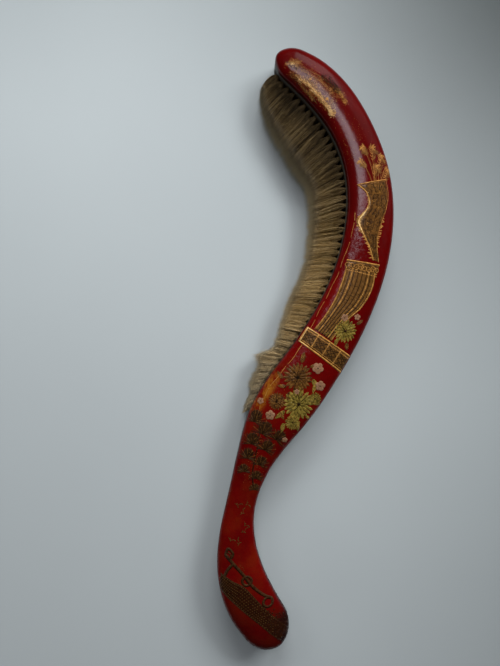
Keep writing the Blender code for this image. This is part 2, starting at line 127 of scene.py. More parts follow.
# Length of the hair, and its direction in degrees below -X, by share of the tuft row
HAIR_LENGTH_SHARES = (
    (0.00, 0.46), (0.05, 0.75), (0.09, 0.90), (0.15, 1.00), (0.22, 1.035), (0.30, 0.88),
    (0.38, 0.81), (0.46, 0.765), (0.55, 0.68), (0.66, 0.650), (0.75, 0.480), (0.78, 0.400),
    (0.80, 0.330), (0.835, 0.320), (0.846, 0.480), (0.856, 0.480), (0.870, 0.360), (0.92, 0.340),
    (0.94, 0.230), (1.00, 0.17),
)
HAIR_HEADING_SHARES = (
    (0.00, 44.0), (0.06, 46.0), (0.18, 45.0), (0.22, 43.0), (0.26, 40.0), (0.30, 33.0),
    (0.34, 25.0), (0.42, 16.0), (0.50, 9.0), (0.60, 4.0), (0.70, -5.0), (0.78, -14.0),
    (0.83, -12.0), (0.88, 2.0), (0.94, 18.0), (1.00, 28.0),
)
# Degrees that a hair turns between root and tip
HAIR_BEND_SHARES = ((0.00, 34.0), (0.05, 20.0), (0.12, 9.0), (0.30, 4.0), (1.00, 6.0))

# Table top, camera and lights
FLOOR_HALF = 1.6
FLOOR_DROP = 0.0002
CAMERA_PLACE = (-0.0302, 0.0096, 0.2799)
CAMERA_ANGLE = math.radians(69.0)
ORIGIN = (0.0, 0.0, 0.0)
WHITE = (0.98, 1.0, 1.0)
LIGHTS = (
    # name, place, target, size, watts, colour, and whether it shows in glossy coats
    ("skylight", (-0.09, 0.445, 0.90), (0.0, 0.05, 0.0), (0.34, 0.27), 1.45, (0.95, 0.93, 1.0), True),
    ("far_glow", (0.35, 1.15, 0.90), ORIGIN, (0.50, 0.60), 1.1, (1.0, 0.96, 0.94), True),
    ("north_east", (0.6124, 0.6124, 0.50), ORIGIN, (0.5, 0.3), 8.2, WHITE, False),
    ("north", (0.0, 0.8660, 0.50), ORIGIN, (0.5, 0.3), 5.6, WHITE, False),
    ("north_west", (-0.6124, 0.6124, 0.50), ORIGIN, (0.5, 0.3), 1.9, WHITE, False),
    ("low_north", (0.3563, 0.8818, 0.3090), ORIGIN, (0.6, 0.2), 0.8, WHITE, False),
    ("low_west", (-0.8364, -0.4829, 0.2588), ORIGIN, (0.6, 0.2), 0.75, WHITE, False),
    ("room", (1.0, 0.8, 0.9), ORIGIN, (1.3, 1.0), 0.7, (1.0, 0.96, 0.96), True),
)


def read_table(table, places):
    """Smooth curve through a table of rows of place and value, read at many places."""
    xs, ys = np.array(table, dtype=float).T
    slopes = np.empty(len(xs))
    slopes[1:-1] = (ys[2:] - ys[:-2]) / (xs[2:] - xs[:-2])
    slopes[0] = (ys[1] - ys[0]) / (xs[1] - xs[0])
    slopes[-1] = (ys[-1] - ys[-2]) / (xs[-1] - xs[-2])
    index = np.clip(np.searchsorted(xs, places, side="right") - 1, 0, len(xs) - 2)
    span = xs[index + 1] - xs[index]
    t = (places - xs[index]) / span
    lead = t * (1 - t) * (1 - t) * span * slopes[index]
    trail = t * t * (t - 1) * span * slopes[index + 1]
    return between(ys[index], ys[index + 1], 3 * t * t - 2 * t ** 3) + lead + trail


def smooth_step(values, low, high):
    """0 before low, 1 after high, and a smooth rise between."""
    t = np.clip((values - low) / (high - low), 0, 1)
    return t * t * (3 - 2 * t)


def between(start, end, share):
    """Blend of a start and an end."""
    return start * (1 - share) + end * share


def toward(angle):
    """Flat unit vectors at angles in radians."""
    return np.stack([np.cos(angle), np.sin(angle)], axis=-1)


def turned(vectors):
    """Flat vectors turned a quarter to the left."""
    return np.stack([-vectors[..., 1], vectors[..., 0]], axis=-1)


def unit(vectors):
    """Vectors brought to a length of one."""
    return vectors / np.maximum(np.linalg.norm(vectors, axis=-1, keepdims=True), 1e-12)


def walk(steps):
    """Places that steps lead to, from the origin on."""
    return np.concatenate([np.zeros_like(steps[..., :1, :]), np.cumsum(steps, axis=-2)], axis=-2)


def raised(flat, height):
    """Flat places with one height, or one for each."""
    return np.concatenate([flat, np.broadcast_to(height, flat.shape[:-1])[..., None]], axis=-1)


def read_path(path, places, wanted):
    """Points of a sampled path at the wanted places along it."""
    return np.stack([np.interp(wanted, places, column) for column in path.T], axis=-1)


# The spine, sampled finely enough to be read by straight interpolation
STEPS = 1800
PLACES = np.linspace(0, 1, STEPS + 1)
ACROSS = toward(np.radians(read_table(HEADING_SHARES, PLACES)))
BOARD_HEIGHTS = between(HEAD_BOARD_HEIGHT, HANDLE_BOARD_HEIGHT,
                        smooth_step(PLACES, HEAD_END_SHARE, HANDLE_START_SHARE))


def half_widths():
    """Half the body's width at each place, round at both ends."""
    table = [(place, WIDTHS[name] * share) for place, name, share in WIDTH_SHARES]
    widths = read_table(table, PLACES) / 2
    for runs, reach in ((PLACES * SPINE_LENGTH, TIP_ROUND), ((1 - PLACES) * SPINE_LENGTH, HANDLE_ROUND)):
        missing = np.clip((reach - runs) / reach, 0, 1)
        widths = widths * np.sqrt(1 - missing * missing)
    return widths


HALF_WIDTHS = half_widths()


def trace_spine():
    """Points down the spine from the tip of the head, with the outline's middle at the origin."""
    headings = np.radians(read_table(HEADING_SHARES, (PLACES[1:] + PLACES[:-1]) / 2))
    spine = walk(-turned(toward(headings)) * SPINE_LENGTH / STEPS)
    reach = ACROSS * HALF_WIDTHS[:, None]
    outline = np.vstack([spine + reach, spine - reach])
    return spine - (outline.min(axis=0) + outline.max(axis=0)) / 2


SPINE = trace_spine()


def at(values, place):
    """Values of the sampled spine at shares of its length."""
    if values.ndim == 1:
        return np.interp(place, PLACES, values)
    return read_path(values, PLACES, place)


def dome_point(run, side):
    """World points of the lacquered dome at runs along the spine and distances across it."""
    place = np.clip(run / SPINE_LENGTH, 0, 1)
    reach = at(HALF_WIDTHS, place)
    share = np.clip(np.abs(side) / np.maximum(reach, 0.01 * MM), 0, 1)
    rise = DOME_RISE * np.sqrt(2 * reach / HEAD_WIDTH) * (1 - share ** DOME_POWER) ** (1 / DOME_POWER)
    lip = BACK_LIP * np.minimum(1, 2 * reach / TIP_WIDTH)
    flat = at(SPINE, place) + at(ACROSS, place) * side[..., None]
    return raised(flat, at(BOARD_HEIGHTS, place) + FIT_GAP + lip + rise)


def on_dome(run, side, lift):
    """World points at a lift off the dome, along its own normal."""
    probe = 0.05 * MM
    along = dome_point(run + probe, side) - dome_point(run - probe, side)
    over = dome_point(run, side + probe) - dome_point(run, side - probe)
    normal = unit(np.cross(along, over))
    normal = normal * np.where(normal[..., 2:] < 0, -1, 1)
    return dome_point(run, side) + normal * lift[..., None]


def ring_faces(rings, sides):
    """Point numbers by ring, those of the next points round it, and the quads between rings."""
    index = np.arange(rings * sides).reshape(rings, sides)
    after = np.roll(index, -1, axis=1)
    quads = np.stack([index[:-1], after[:-1], after[1:], index[1:]], axis=-1).reshape(-1, 4)
    return index, after, quads


def fan(first, second, peak):
    """Triangles from pairs of points to one more."""
    return np.column_stack([first, second, np.full(len(first), peak)])


def repeated(faces, count, points):
    """Faces of one shape for a count of like shapes, with so many points each."""
    offsets = np.arange(count)[:, None, None] * points
    return (faces[None] + offsets).reshape(-1, faces.shape[1])


def make_mesh(name, points, faces, attributes=None, smooth=True):
    """Mesh from points and from blocks of faces, each block with one number of corners."""
    mesh = bpy.data.meshes.new(name)
    points = np.reshape(points, (-1, 3))
    loops = np.concatenate([block.ravel() for block in faces]).astype(np.int32)
    sizes = np.concatenate([np.full(len(block), block.shape[1]) for block in faces])
    starts = np.concatenate([[0], np.cumsum(sizes)[:-1]]).astype(np.int32)
    mesh.vertices.add(len(points))
    mesh.vertices.foreach_set("co", points.astype(np.float32).ravel())
    mesh.loops.add(len(loops))
    mesh.loops.foreach_set("vertex_index", loops)
    mesh.polygons.add(len(sizes))
    mesh.polygons.foreach_set("loop_start", starts)
    mesh.polygons.foreach_set("use_smooth", np.full(len(sizes), smooth))
    for key, values in (attributes or {}).items():
        layer = mesh.attributes.new(key, 'FLOAT', 'POINT')
        layer.data.foreach_set("value", np.ravel(values).astype(np.float32))
    mesh.update(calc_edges=True)
    mesh.validate()
    return mesh


def add_object(name, data):
    """Object in the scene."""
    thing = bpy.data.objects.new(name, data)
    bpy.context.scene.collection.objects.link(thing)
    return thing


def add_piece(mesh, material):
    """Piece that rides on the body, with its material and the slot it belongs to."""
    piece = add_object(mesh.name, mesh)
    mesh.materials.append(material)
    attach(piece, "root")
    return piece


class Nodes:
    """Short hand for building a node material."""

    def __init__(self, name):
        self.material = bpy.data.materials.new(name)
        self.material.use_nodes = True
        self.tree = self.material.node_tree
        self.shader = self.tree.nodes["Principled BSDF"]
        self.coords = self.add("TexCoord").outputs["Object"]

    def add(self, kind, inputs=None, **settings):
        """Node with its settings and inputs."""
        node = self.tree.nodes.new("ShaderNode" + kind)
        for key, value in settings.items():
            setattr(node, key, value)
        self.fill(node, inputs or {})
        return node

    def fill(self, node, inputs):
        """Set inputs by name or number, or join those whose value is a socket."""
        for key, value in inputs.items():
            if isinstance(value, bpy.types.NodeSocket):
                self.tree.links.new(value, node.inputs[key])
            else:
                node.inputs[key].default_value = value

    def stretch(self, scale, turn=0.0):
        """Object coordinates scaled along each axis and turned about Z."""
        inputs = {"Vector": self.coords, "Scale": scale, "Rotation": (0, 0, turn)}
        return self.add("Mapping", inputs).outputs["Vector"]

    def noise(self, scale, detail=3.0, roughness=0.55, vector=None, distortion=0.0):
        """Noise value, with its scale in turns a metre."""
        inputs = {"Vector": vector or self.coords, "Scale": scale, "Detail": detail,
                  "Roughness": roughness, "Distortion": distortion}
        return self.add("TexNoise", inputs).outputs["Fac"]

    def ramp(self, value, *stops):
        """Colour ramp through stops of place and colour."""
        node = self.add("ValToRGB", {"Fac": value})
        elements = node.color_ramp.elements
        while len(elements) < len(stops):
            elements.new(0.5)
        for element, (place, colour) in zip(elements, stops):
            element.position = place
            element.color = (*colour, 1)
        return node.outputs["Color"]

    def level(self, value, low, high, start=0.0, end=1.0):
        """Smooth map of a value from low..high to start..end."""
        inputs = {"Value": value, "From Min": low, "From Max": high, "To Min": start, "To Max": end}
        return self.add("MapRange", inputs, interpolation_type='SMOOTHSTEP').outputs["Result"]

    def math(self, kind, first, second):
        """Arithmetic on two values."""
        return self.add("Math", {0: first, 1: second}, operation=kind).outputs[0]

    def times(self, first, second):
        """Product of two values."""
        return self.math('MULTIPLY', first, second)

    def mix(self, share, first, second):
        """Mix of a first colour that is a socket and a second one of either kind."""
        if not isinstance(second, bpy.types.NodeSocket):
            second = (*second, 1)
        return self.add("Mix", {0: share, 6: first, 7: second}, data_type='RGBA').outputs[2]

    def attribute(self, name):
        """Value of a point attribute."""
        return self.add("Attribute", attribute_name=name).outputs["Fac"]

    def bump(self, height, distance, strength, below=None):
        """Bump from a height, over another bump."""
        inputs = {"Height": height, "Distance": distance, "Strength": strength}
        if below is not None:
            inputs["Normal"] = below
        return self.add("Bump", inputs).outputs["Normal"]

    def finish(self, colour, roughness, normal=None, **constants):
        """Join the shader's inputs and set its constants."""
        inputs = {key.replace("_", " "): value for key, value in constants.items()}
        inputs.update({"Base Color": colour, "Roughness": roughness})
        if normal is not None:
            inputs.update({"Normal": normal, "Coat Normal": normal})
        self.fill(self.shader, inputs)
        return self.material


def red_lacquer():
    """Deep red lacquer: cloudy colour, with painted shade along its edges, brown and worn where it is held.
    """
    n = Nodes("red_lacquer_gloss")
    run = n.attribute("run")
    side = n.attribute("side")
    edge = n.attribute("edge")
    colour = n.ramp(n.noise(45, 4, 0.6), (0.30, (0.088, 0.0010, 0.0010)), (0.52, (0.118, 0.0013, 0.0011)),
                    (0.72, (0.150, 0.0026, 0.0018)))
    held = n.times(n.level(run, 0.50, 0.62), n.level(n.noise(75, 5, 0.65), 0.40, 0.66))
    specks = n.level(n.noise(2100, 2, 0.5), 0.68, 0.76)
    # Painted shade: a dark line along the dome's edges, where it turns down at a grazing angle.
    painted_edge_shade = n.times(n.level(edge, 0.965, 1.0), n.level(n.noise(300, 3), 0.25, 0.6, 0.3, 0.7))
    patch = n.times(n.level(run, 0.950, 0.972), n.level(side, -0.05, 0.22))
    gilded = n.times(n.level(run, 0.555, 0.60), n.level(run, 0.650, 0.625))
    gilded = n.times(gilded, n.level(side, -0.52, -0.74))
    smear = n.times(gilded, n.level(n.noise(230, 5, 0.7, n.stretch((1, 0.5, 1), 0.6)), 0.44, 0.60))
    tints = (
        (n.times(held, 0.5), (0.140, 0.012, 0.002)),
        (n.times(specks, 0.4), (0.040, 0.004, 0.003)),
        (painted_edge_shade, (0.014, 0.002, 0.002)),
        (n.level(run, 0.25, 0.50, 0.32, 0.0), (0.012, 0.0004, 0.0004)),
        (n.level(run, 0.86, 0.97, 0.0, 0.45), (0.012, 0.001, 0.001)),
        (n.times(patch, 0.92), (0.010, 0.004, 0.003)),
        (n.times(smear, 0.75), (0.300, 0.115, 0.010)),
    )
    for share, tint in tints:
        colour = n.mix(share, colour, tint)
    ripple = n.bump(n.noise(150, 2, 0.5), 0.00010, 0.35)
    scuffs = n.bump(n.noise(620, 4, 0.65), 0.00026, n.level(run, 0.25, 0.36, 0.16, 0.65), ripple)
    pores = n.bump(n.noise(3000, 3, 0.6), 0.00003, 0.30, scuffs)
    dulled = n.times(n.level(run, 0.27, 0.32), n.level(n.noise(430, 5, 0.7), 0.53, 0.45, 0.0, 0.85))
    gloss = n.times(n.level(edge, 0.93, 0.985, 1.0, 0.25), n.math('SUBTRACT', 1.0, dulled))
    rough = n.level(n.noise(900, 4, 0.6), 0.3, 0.75, 0.30, 0.45)
    return n.finish(colour, rough, pores, Coat_Weight=gloss, Coat_Roughness=0.11, Coat_IOR=1.42,
                    Specular_IOR_Level=0.05)


def black_lacquer():
    """Thin black lacquer over the lower board, brownish where it has worn, with painted fill light on the
    side that faces the hair.
    """
    n = Nodes("black_lacquer_satin")
    colour = n.ramp(n.noise(120, 5, 0.62), (0.35, (0.026, 0.023, 0.020)), (0.62, (0.048, 0.040, 0.032)),
                    (0.78, (0.090, 0.062, 0.042)))
    # Painted light: the side that faces the hair stands in shade from the lamps, and this mask paints it a
    # lighter grey.
    normal = n.add("NewGeometry").outputs["Normal"]
    facing = n.add("VectorMath", {0: normal, 1: HAIR_SIDE}, operation='DOT_PRODUCT')
    dust = n.level(facing.outputs["Value"], 0.10, 0.60, 0.0, 0.85)
    colour = n.mix(dust, colour, (0.092, 0.087, 0.077))
    rough = n.level(n.noise(700, 4, 0.6), 0.3, 0.7, 0.38, 0.6)
    grain = n.bump(n.noise(420, 4, 0.6, n.stretch((0.35, 1, 1))), 0.00008, 0.4)
    return n.finish(colour, rough, grain, Coat_Weight=0.05, Coat_Roughness=0.3, Specular_IOR_Level=0.15)


def dark_wood():
    """Stained wood of the stock and its facing, with fine grain."""
    n = Nodes("stained_wood")
    grain = n.noise(900, 6, 0.65, n.stretch((0.12, 1, 1), 0.4), 0.6)
    colour = n.ramp(grain, (0.30, (0.020, 0.013, 0.008)), (0.55, (0.055, 0.034, 0.020)),
                    (0.80, (0.110, 0.066, 0.036)))
    return n.finish(colour, n.level(grain, 0.3, 0.7, 0.5, 0.8), n.bump(grain, 0.0001, 0.5))


def patchy(name, dark, light, wear, grain, rough, **constants):
    """Thin coat in two tones, in patches of a noise called wear; its gloss varies with a finer grain."""
    n = Nodes(name)
    patches = n.noise(*wear)
    rough = n.level(n.noise(grain), 0.3, 0.7, *rough)
    colour = n.ramp(patches, (0.35, dark), (0.65, light))
    return n.finish(colour, rough, n.bump(patches, 0.00003, 0.4), **constants)


def metal(name, dark, light, *rough):
    """Worn metal with tarnish in patches."""
    return patchy(name, dark, light, (800, 5, 0.6), 2600, rough, Metallic=1.0)


def paint(name, dark, light):
    """Thin matt paint, rubbed in places."""
    return patchy(name, dark, light, (700, 5, 0.65), 2400, (0.35, 0.6), Coat_Weight=0.4, Coat_Roughness=0.1,
                  Specular_IOR_Level=0.1)


def gilt(name, dark, light, metallic, *rough):
    """Powdered metal under clear lacquer, patchy where it has rubbed away."""
    n = Nodes(name)
    grains = n.noise(5200, 2, 0.5)
    mixed = n.math('ADD', n.times(n.noise(520, 5, 0.65), 0.6), n.times(grains, 0.4))
    middle = tuple((a + b) / 2 for a, b in zip(dark, light))
    colour = n.ramp(mixed, (0.36, dark), (0.50, middle), (0.62, light))
    rough = n.level(grains, 0.3, 0.7, *(rough or (0.34, 0.55)))
    return n.finish(colour, rough, n.bump(grains, 0.00009, 0.6), Metallic=metallic, Coat_Weight=0.35,
                    Coat_Roughness=0.12, Specular_IOR_Level=0.2)


def hair_coat():
    """Soft brown hair, darker near the tip of the head; each hair has its own tone and a pale end. In the
    head, painted light brightens the roots and the ends, and painted shade darkens the middle.
    """
    n = Nodes("brown_hair")
    along = n.attribute("along")
    place = n.attribute("place")
    fine = n.noise(1500, 3, 0.6)
    mixed = n.math('ADD', n.attribute("tone"), n.level(fine, 0.3, 0.7, -0.14, 0.14))
    dark = n.ramp(mixed, (0.05, (0.020, 0.012, 0.004)), (0.35, (0.060, 0.037, 0.014)),
                  (0.65, (0.135, 0.088, 0.036)), (0.95, (0.320, 0.225, 0.105)))
    light = n.ramp(mixed, (0.05, (0.150, 0.088, 0.028)), (0.35, (0.360, 0.230, 0.080)),
                   (0.65, (0.580, 0.390, 0.150)), (0.95, (0.800, 0.580, 0.280)))
    colour = n.mix(n.level(place, 0.22, 0.60), dark, light)
    head = n.level(place, 0.45, 0.70, 1.0, 0.1)
    # Painted shade on the middle of the hair in the head, where the lamps light its top most.
    middle = n.times(n.level(along, 0.16, 0.34), n.level(along, 0.55, 0.85, 0.08, 0.0))
    tints = (
        (n.times(middle, head), (0.022, 0.014, 0.006)),
        # Painted light on the roots in the head, which lie in the shadow of the back.
        (n.times(n.level(along, 0.0, 0.30, 0.55, 0.0), head), (0.400, 0.285, 0.140)),
        (n.level(along, 0.66, 1.0, 0.0, 0.50), (0.520, 0.450, 0.320)),
        # Painted light on the ends in the head, which face away from the lamps.
        (n.times(n.level(along, 0.84, 0.98, 0.0, 0.45), head), (0.760, 0.600, 0.340)),
        (n.level(place, 0.68, 1.0, 0.0, 0.62), (0.430, 0.375, 0.270)),
    )
    for share, tint in tints:
        colour = n.mix(share, colour, tint)
    rough = n.level(fine, 0.3, 0.7, 0.48, 0.66)
    return n.finish(colour, rough, n.bump(fine, 0.00002, 0.3), Specular_IOR_Level=0.35)


def floor_paper():
    """Plain pale table top, with painted shade that darkens it towards its far side and its right."""
    n = Nodes("pale_floor")
    painted_shade_colour = (0.022, 0.027, 0.026)
    x, y, _ = n.add("SeparateXYZ", {0: n.coords}).outputs
    colour = n.ramp(n.noise(6), (0.3, (0.478, 0.521, 0.537)), (0.7, (0.496, 0.541, 0.556)))
    # Painted shade: the top darkens towards its far side and its right, where less light falls.
    colour = n.mix(n.times(n.level(x, -0.137, 0.195), n.level(y, -0.045, 0.251)), colour, painted_shade_colour)
    colour = n.mix(n.level(x, -0.036, 0.278, 0.0, 0.6), colour, painted_shade_colour)
    colour = n.mix(n.level(y, 0.110, 0.347, 0.0, 0.6), colour, painted_shade_colour)
    return n.finish(colour, n.level(n.noise(60), 0.3, 0.7, 0.62, 0.7), Specular_IOR_Level=0.3)


def section_places():
    """Shares of the spine for the sections, closer together in the round ends."""
    tip = TIP_ROUND / SPINE_LENGTH
    handle = HANDLE_ROUND / SPINE_LENGTH
    turn = 1 - np.cos(np.linspace(0, math.pi / 2, END_SECTIONS + 1))[1:-1]
    middles = np.linspace(tip, 1 - handle, MIDDLE_SECTIONS + 1)
    return np.concatenate([tip * turn, middles, 1 - handle * turn[::-1]])


def make_back(material):
    """The red back: flat below, a short upright lip and a dome above."""
    places = section_places()
    dome = np.cos(math.pi * (1 - np.linspace(0, 1, DOME_STEPS + 1)))
    dome = np.copysign(np.abs(dome) ** (2 / DOME_POWER), dome)
    sides = np.concatenate([[-1], dome, [1]])
    side = at(HALF_WIDTHS, places)[:, None] * sides
    run = np.repeat(places[:, None] * SPINE_LENGTH, len(sides), axis=1)
    points = dome_point(run, side)
    points[:, [0, -1], 2] = (at(BOARD_HEIGHTS, places) + FIT_GAP)[:, None]
    index, _, quads = ring_faces(*side.shape)
    attributes = {
        "run": run / SPINE_LENGTH,
        "side": np.tile(sides, len(places)),
        "edge": np.tile(np.abs(sides), len(places)),
    }
    mesh = make_mesh("lacquer_back", points, [quads, index[:1, ::-1], index[-1:]], attributes)
    mesh.set_sharp_from_angle(angle=SHARP_ANGLE)
    piece = add_piece(mesh, material)
    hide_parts("red_back")


# The concave edge that the tufts follow, by run along it
EDGE = SPINE - ACROSS * HALF_WIDTHS[:, None]
EDGE_RUNS = np.concatenate([[0], np.cumsum(np.linalg.norm(np.diff(EDGE, axis=0), axis=1))])
ROW_START, ROW_END = np.interp((TUFT_START_SHARE, TUFT_END_SHARE), PLACES, EDGE_RUNS)
ROW_LENGTH = ROW_END - ROW_START
COLUMN_PITCH = ROW_LENGTH / (GROUPS * COLUMNS_PER_GROUP)
STOCK_BOTTOM = GROOVE_FLOOR + FIT_GAP
STOCK_TOP = STOCK_BOTTOM + STOCK_HEIGHT
ROW_MIDDLE = STOCK_BOTTOM + STOCK_HEIGHT / 2


def edge_position(run):
    """Points of the concave edge at runs along it."""
    return read_path(EDGE, EDGE_RUNS, run)


def edge_inward(run):
    """Unit vectors from the concave edge into the body."""
    return turned(unit(edge_position(run + EDGE_SMOOTHING) - edge_position(run - EDGE_SMOOTHING)))


def make_facing(material):
    """The thin strip that the tufts come out of, along the stock's face."""
    runs = np.linspace(ROW_START, ROW_END, FACING_SECTIONS)
    far = FACING_INSET + FACING_DEPTH
    corners = ((FACING_INSET, STOCK_BOTTOM), (FACING_INSET, STOCK_TOP), (far, STOCK_TOP), (far, STOCK_BOTTOM))
    rings = [raised(edge_position(runs) + edge_inward(runs) * depth, height) for depth, height in corners]
    index, _, quads = ring_faces(FACING_SECTIONS, len(corners))
    faces = [quads[:, [0, 3, 2, 1]], index[:1], index[-1:, ::-1]]
    mesh = make_mesh("tuft_facing", np.stack(rings, axis=1), faces, smooth=False)
    add_piece(mesh, material)


def disc(rng, count):
    """Random places in a round of radius one."""
    angle = rng.uniform(0, 2 * math.pi, count)
    radius = np.sqrt(rng.uniform(0, 1, count))
    return toward(angle) * radius[:, None]


class Hairs:
    """Random traits of the hairs of one group, some of them shared by the hairs of a clump."""

    def __init__(self, group):
        rng = np.random.default_rng(HAIR_SEED + group)
        clumps = COLUMNS_PER_GROUP * ROWS * CLUMPS
        clump = np.repeat(np.arange(clumps), HAIRS_PER_TUFT // CLUMPS)
        column = clump // (ROWS * CLUMPS)
        self.count = len(clump)
        self.column = group * COLUMNS_PER_GROUP + column
        self.row = clump // CLUMPS % ROWS
        self.clump_place = disc(rng, clumps)[clump]
        self.traits = rng.normal(0, 1, (clumps, 4))[clump]
        self.own_place = disc(rng, self.count)
        self.jitter = rng.normal(0, 1, (self.count, 4))
        self.chance = rng.uniform(0, 1, self.count)
        self.tuft_turn = rng.normal(0, TUFT_TURN, (COLUMNS_PER_GROUP, ROWS))[column, self.row]
        self.phase = rng.uniform(0, 2 * math.pi, (self.count, 2))
        self.start = self.clump_place * ROOT_SHARES[0] + self.own_place * ROOT_SHARES[1]
        self.loose = self.clump_place * OPEN_SHARES[0] + self.own_place * OPEN_SHARES[1]
        self.tone = 0.5 + 0.26 * self.traits[:, 3] + 0.30 * self.jitter[:, 3]


def hair_runs(hairs, opening):
    """Runs along the edge of each hair's rings, as the tufts open."""
    stagger = ROW_STAGGER_SHARE * np.array([-1, 1, 0])[hairs.row]
    middle = ROW_START + (hairs.column + 0.5 + stagger)[:, None] * COLUMN_PITCH
    worn = 1 + 0.30 * smooth_step((middle - ROW_START) / ROW_LENGTH, 0.42, 0.72)
    offset = between(hairs.start[:, :1], hairs.loose[:, :1] * TUFT_OPEN_SHARE, opening) * worn
    return middle + offset * TUFT_HALF_RUN


def hair_lengths(hairs, stray, place):
    """Length of each hair, more ragged near the lower end of the row."""
    length = BRISTLE_LENGTH * read_table(HAIR_LENGTH_SHARES, place)
    ragged = 0.015 + 0.085 * smooth_step(place, 0.66, 0.86)
    spread = ragged * hairs.traits[:, 0] + 0.045 * hairs.jitter[:, 0]
    return length * (1 + spread - 0.03 * np.abs(hairs.start[:, 1]) + 0.06 * stray)


def hair_turns(hairs, stray, share, t):
    """Direction of each hair in degrees below -X, at each of its rings."""
    bend = read_table(HAIR_BEND_SHARES, share[:, -1])
    turn = read_table(HAIR_HEADING_SHARES, share) + bend[:, None] * (t - 0.45)
    turn = turn + (hairs.tuft_turn[:, None] + CLUMP_TURN * hairs.traits[:, 1:2]) * t
    turn = turn + (OWN_TURN + STRAY_TURN * stray[:, None]) * hairs.jitter[:, 1:2] * t
    return turn + WAVE_TURN * np.sin(hairs.phase[:, 0:1] + 5.0 * t) * t


def hair_heights(hairs, opening, t):
    """Height of each hair's rings above the table."""
    height = (hairs.row[:, None] - (ROWS - 1) / 2) * ROW_PITCH + hairs.start[:, 1:2] * TUFT_HALF_HEIGHT
    height = height * (1 + 0.45 * opening) + 0.35 * MM * (hairs.traits[:, 2:3] + hairs.jitter[:, 2:3]) * t
    height = height + 0.25 * MM * np.sin(hairs.phase[:, 1:2] + 4.0 * t) * t
    return np.maximum(ROW_MIDDLE + height, LOWEST_HAIR)


def hair_paths(hairs):
    """Points along each hair, hairs by rings by three, with each hair's share of the row."""
    t = np.array(HAIR_STEP_SHARES)[None, :]
    opening = smooth_step(t, 0.0, 0.28)
    run = hair_runs(hairs, opening)
    share = np.clip((run - ROW_START) / ROW_LENGTH, 0, 1)
    place = share[:, -1]
    stray = hairs.chance < STRAY_SHARE * (1 + 3 * smooth_step(place, 0.70, 0.95))
    turn = hair_turns(hairs, stray, share, t)
    angles = np.radians((turn[:, 1:] + turn[:, :-1]) / 2)
    steps = -toward(angles) * (hair_lengths(hairs, stray, place)[:, None] * np.diff(t))[..., None]
    flat = edge_position(run) + edge_inward(run) * HAIR_SINK * (1 - t[..., None]) + walk(steps)
    return raised(flat, hair_heights(hairs, opening, t)), place


def hair_tubes(points):
    """Three-sided tapering tube along each path, closed by a point."""
    count, rings, _ = points.shape
    t = np.array(HAIR_STEP_SHARES)
    level = unit(raised(turned(np.gradient(points, axis=1)), 0.0))
    radius = (HAIR_RADIUS * (1 - 0.55 * t ** 2))[:, None]
    corners = []
    for across, up in toward(math.pi / 2 + np.arange(3) * 2 * math.pi / 3):
        corners.append(points + radius * (across * level + up * np.array([0.0, 0.0, 1.0])))
    tube = np.stack(corners, axis=2)[:, :-1].reshape(count, -1, 3)
    vertices = np.concatenate([tube, points[:, -1:]], axis=1)
    per_hair = vertices.shape[1]
    index, after, quads = ring_faces(rings - 1, 3)
    ends = np.concatenate([fan(index[-1], after[-1], per_hair - 1), index[:1, ::-1]])
    faces = [repeated(block, count, per_hair) for block in (quads, ends)]
    along = np.append(np.repeat(t[:-1], 3), 1.0)
    return vertices, faces, along


def make_hair(group, material):
    """One group of tufts as separate hairs."""
    hairs = Hairs(group)
    points, place = hair_paths(hairs)
    vertices, faces, along = hair_tubes(points)
    attributes = {
        "tone": np.repeat(hairs.tone, len(along)),
        "along": np.tile(along, hairs.count),
        "place": np.repeat(place, len(along)),
    }
    mesh = make_mesh("hair_%02d" % (group + 1), vertices, faces, attributes)
    piece = add_piece(mesh, material)
    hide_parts("bristle_tufts_%02d" % (group + 1))


# Decoration on the red back. Places are in millimetres: run from the tip, and side across the spine with
# + towards the convex edge. SINK is how far the rim of a raised shape lies under what it stands on, and
# UNDER how far its underside does.
DECORATION_SEED = 41
SINK = 0.014
UNDER = 2.5 * SINK
SAFE_SHARE = 0.955
LEAF_RINGS = 12
CURL_STEPS = 34
FLAKES_PER_CLUMP = 8
CLOUD_PATHS = (
    # path of places, spread, flakes, smallest and largest radius
    (((13, -6.0), (24, -5.4), (31, -5.6), (38, -6.1), (47, -6.0)), 1.30, 1700, 0.10, 0.34),
    (((9, -2.0), (17, -1.6), (26, -0.6), (35, 0.5), (42, 2.2)), 1.75, 1500, 0.09, 0.25),
    (((8, -3.6), (11, -0.6), (15, 1.0)), 1.1, 360, 0.09, 0.26),
    (((22, -8.4), (28, -9.0), (33, -9.6)), 0.8, 420, 0.10, 0.26),
    (((38, 3.2), (42, 3.6), (47, 2.6)), 0.95, 420, 0.10, 0.28),
    (((46, -7.0), (58, -5.5), (70, -7.5), (82, -6.0)), 2.4, 170, 0.09, 0.22),
    (((50, 1.0), (62, 2.0), (70, 0.0)), 2.8, 90, 0.08, 0.18),
)
MIST_BANDS = (
    # layer, path of places and width
    ("gold", ((19, -6.5), (25, -5.7), (34, -6.0), (44, -5.5)), 0.8),
    ("dull", ((13, -2.2), (20, -1.8), (28, -0.6), (38, 0.9)), 0.4),
    ("dull", ((20, -0.2), (28, 1.6), (36, 2.4), (43, 4.4)), 0.5),
    ("dull", ((24, -9.2), (31, -9.0), (37, -9.4)), 0.4),
)
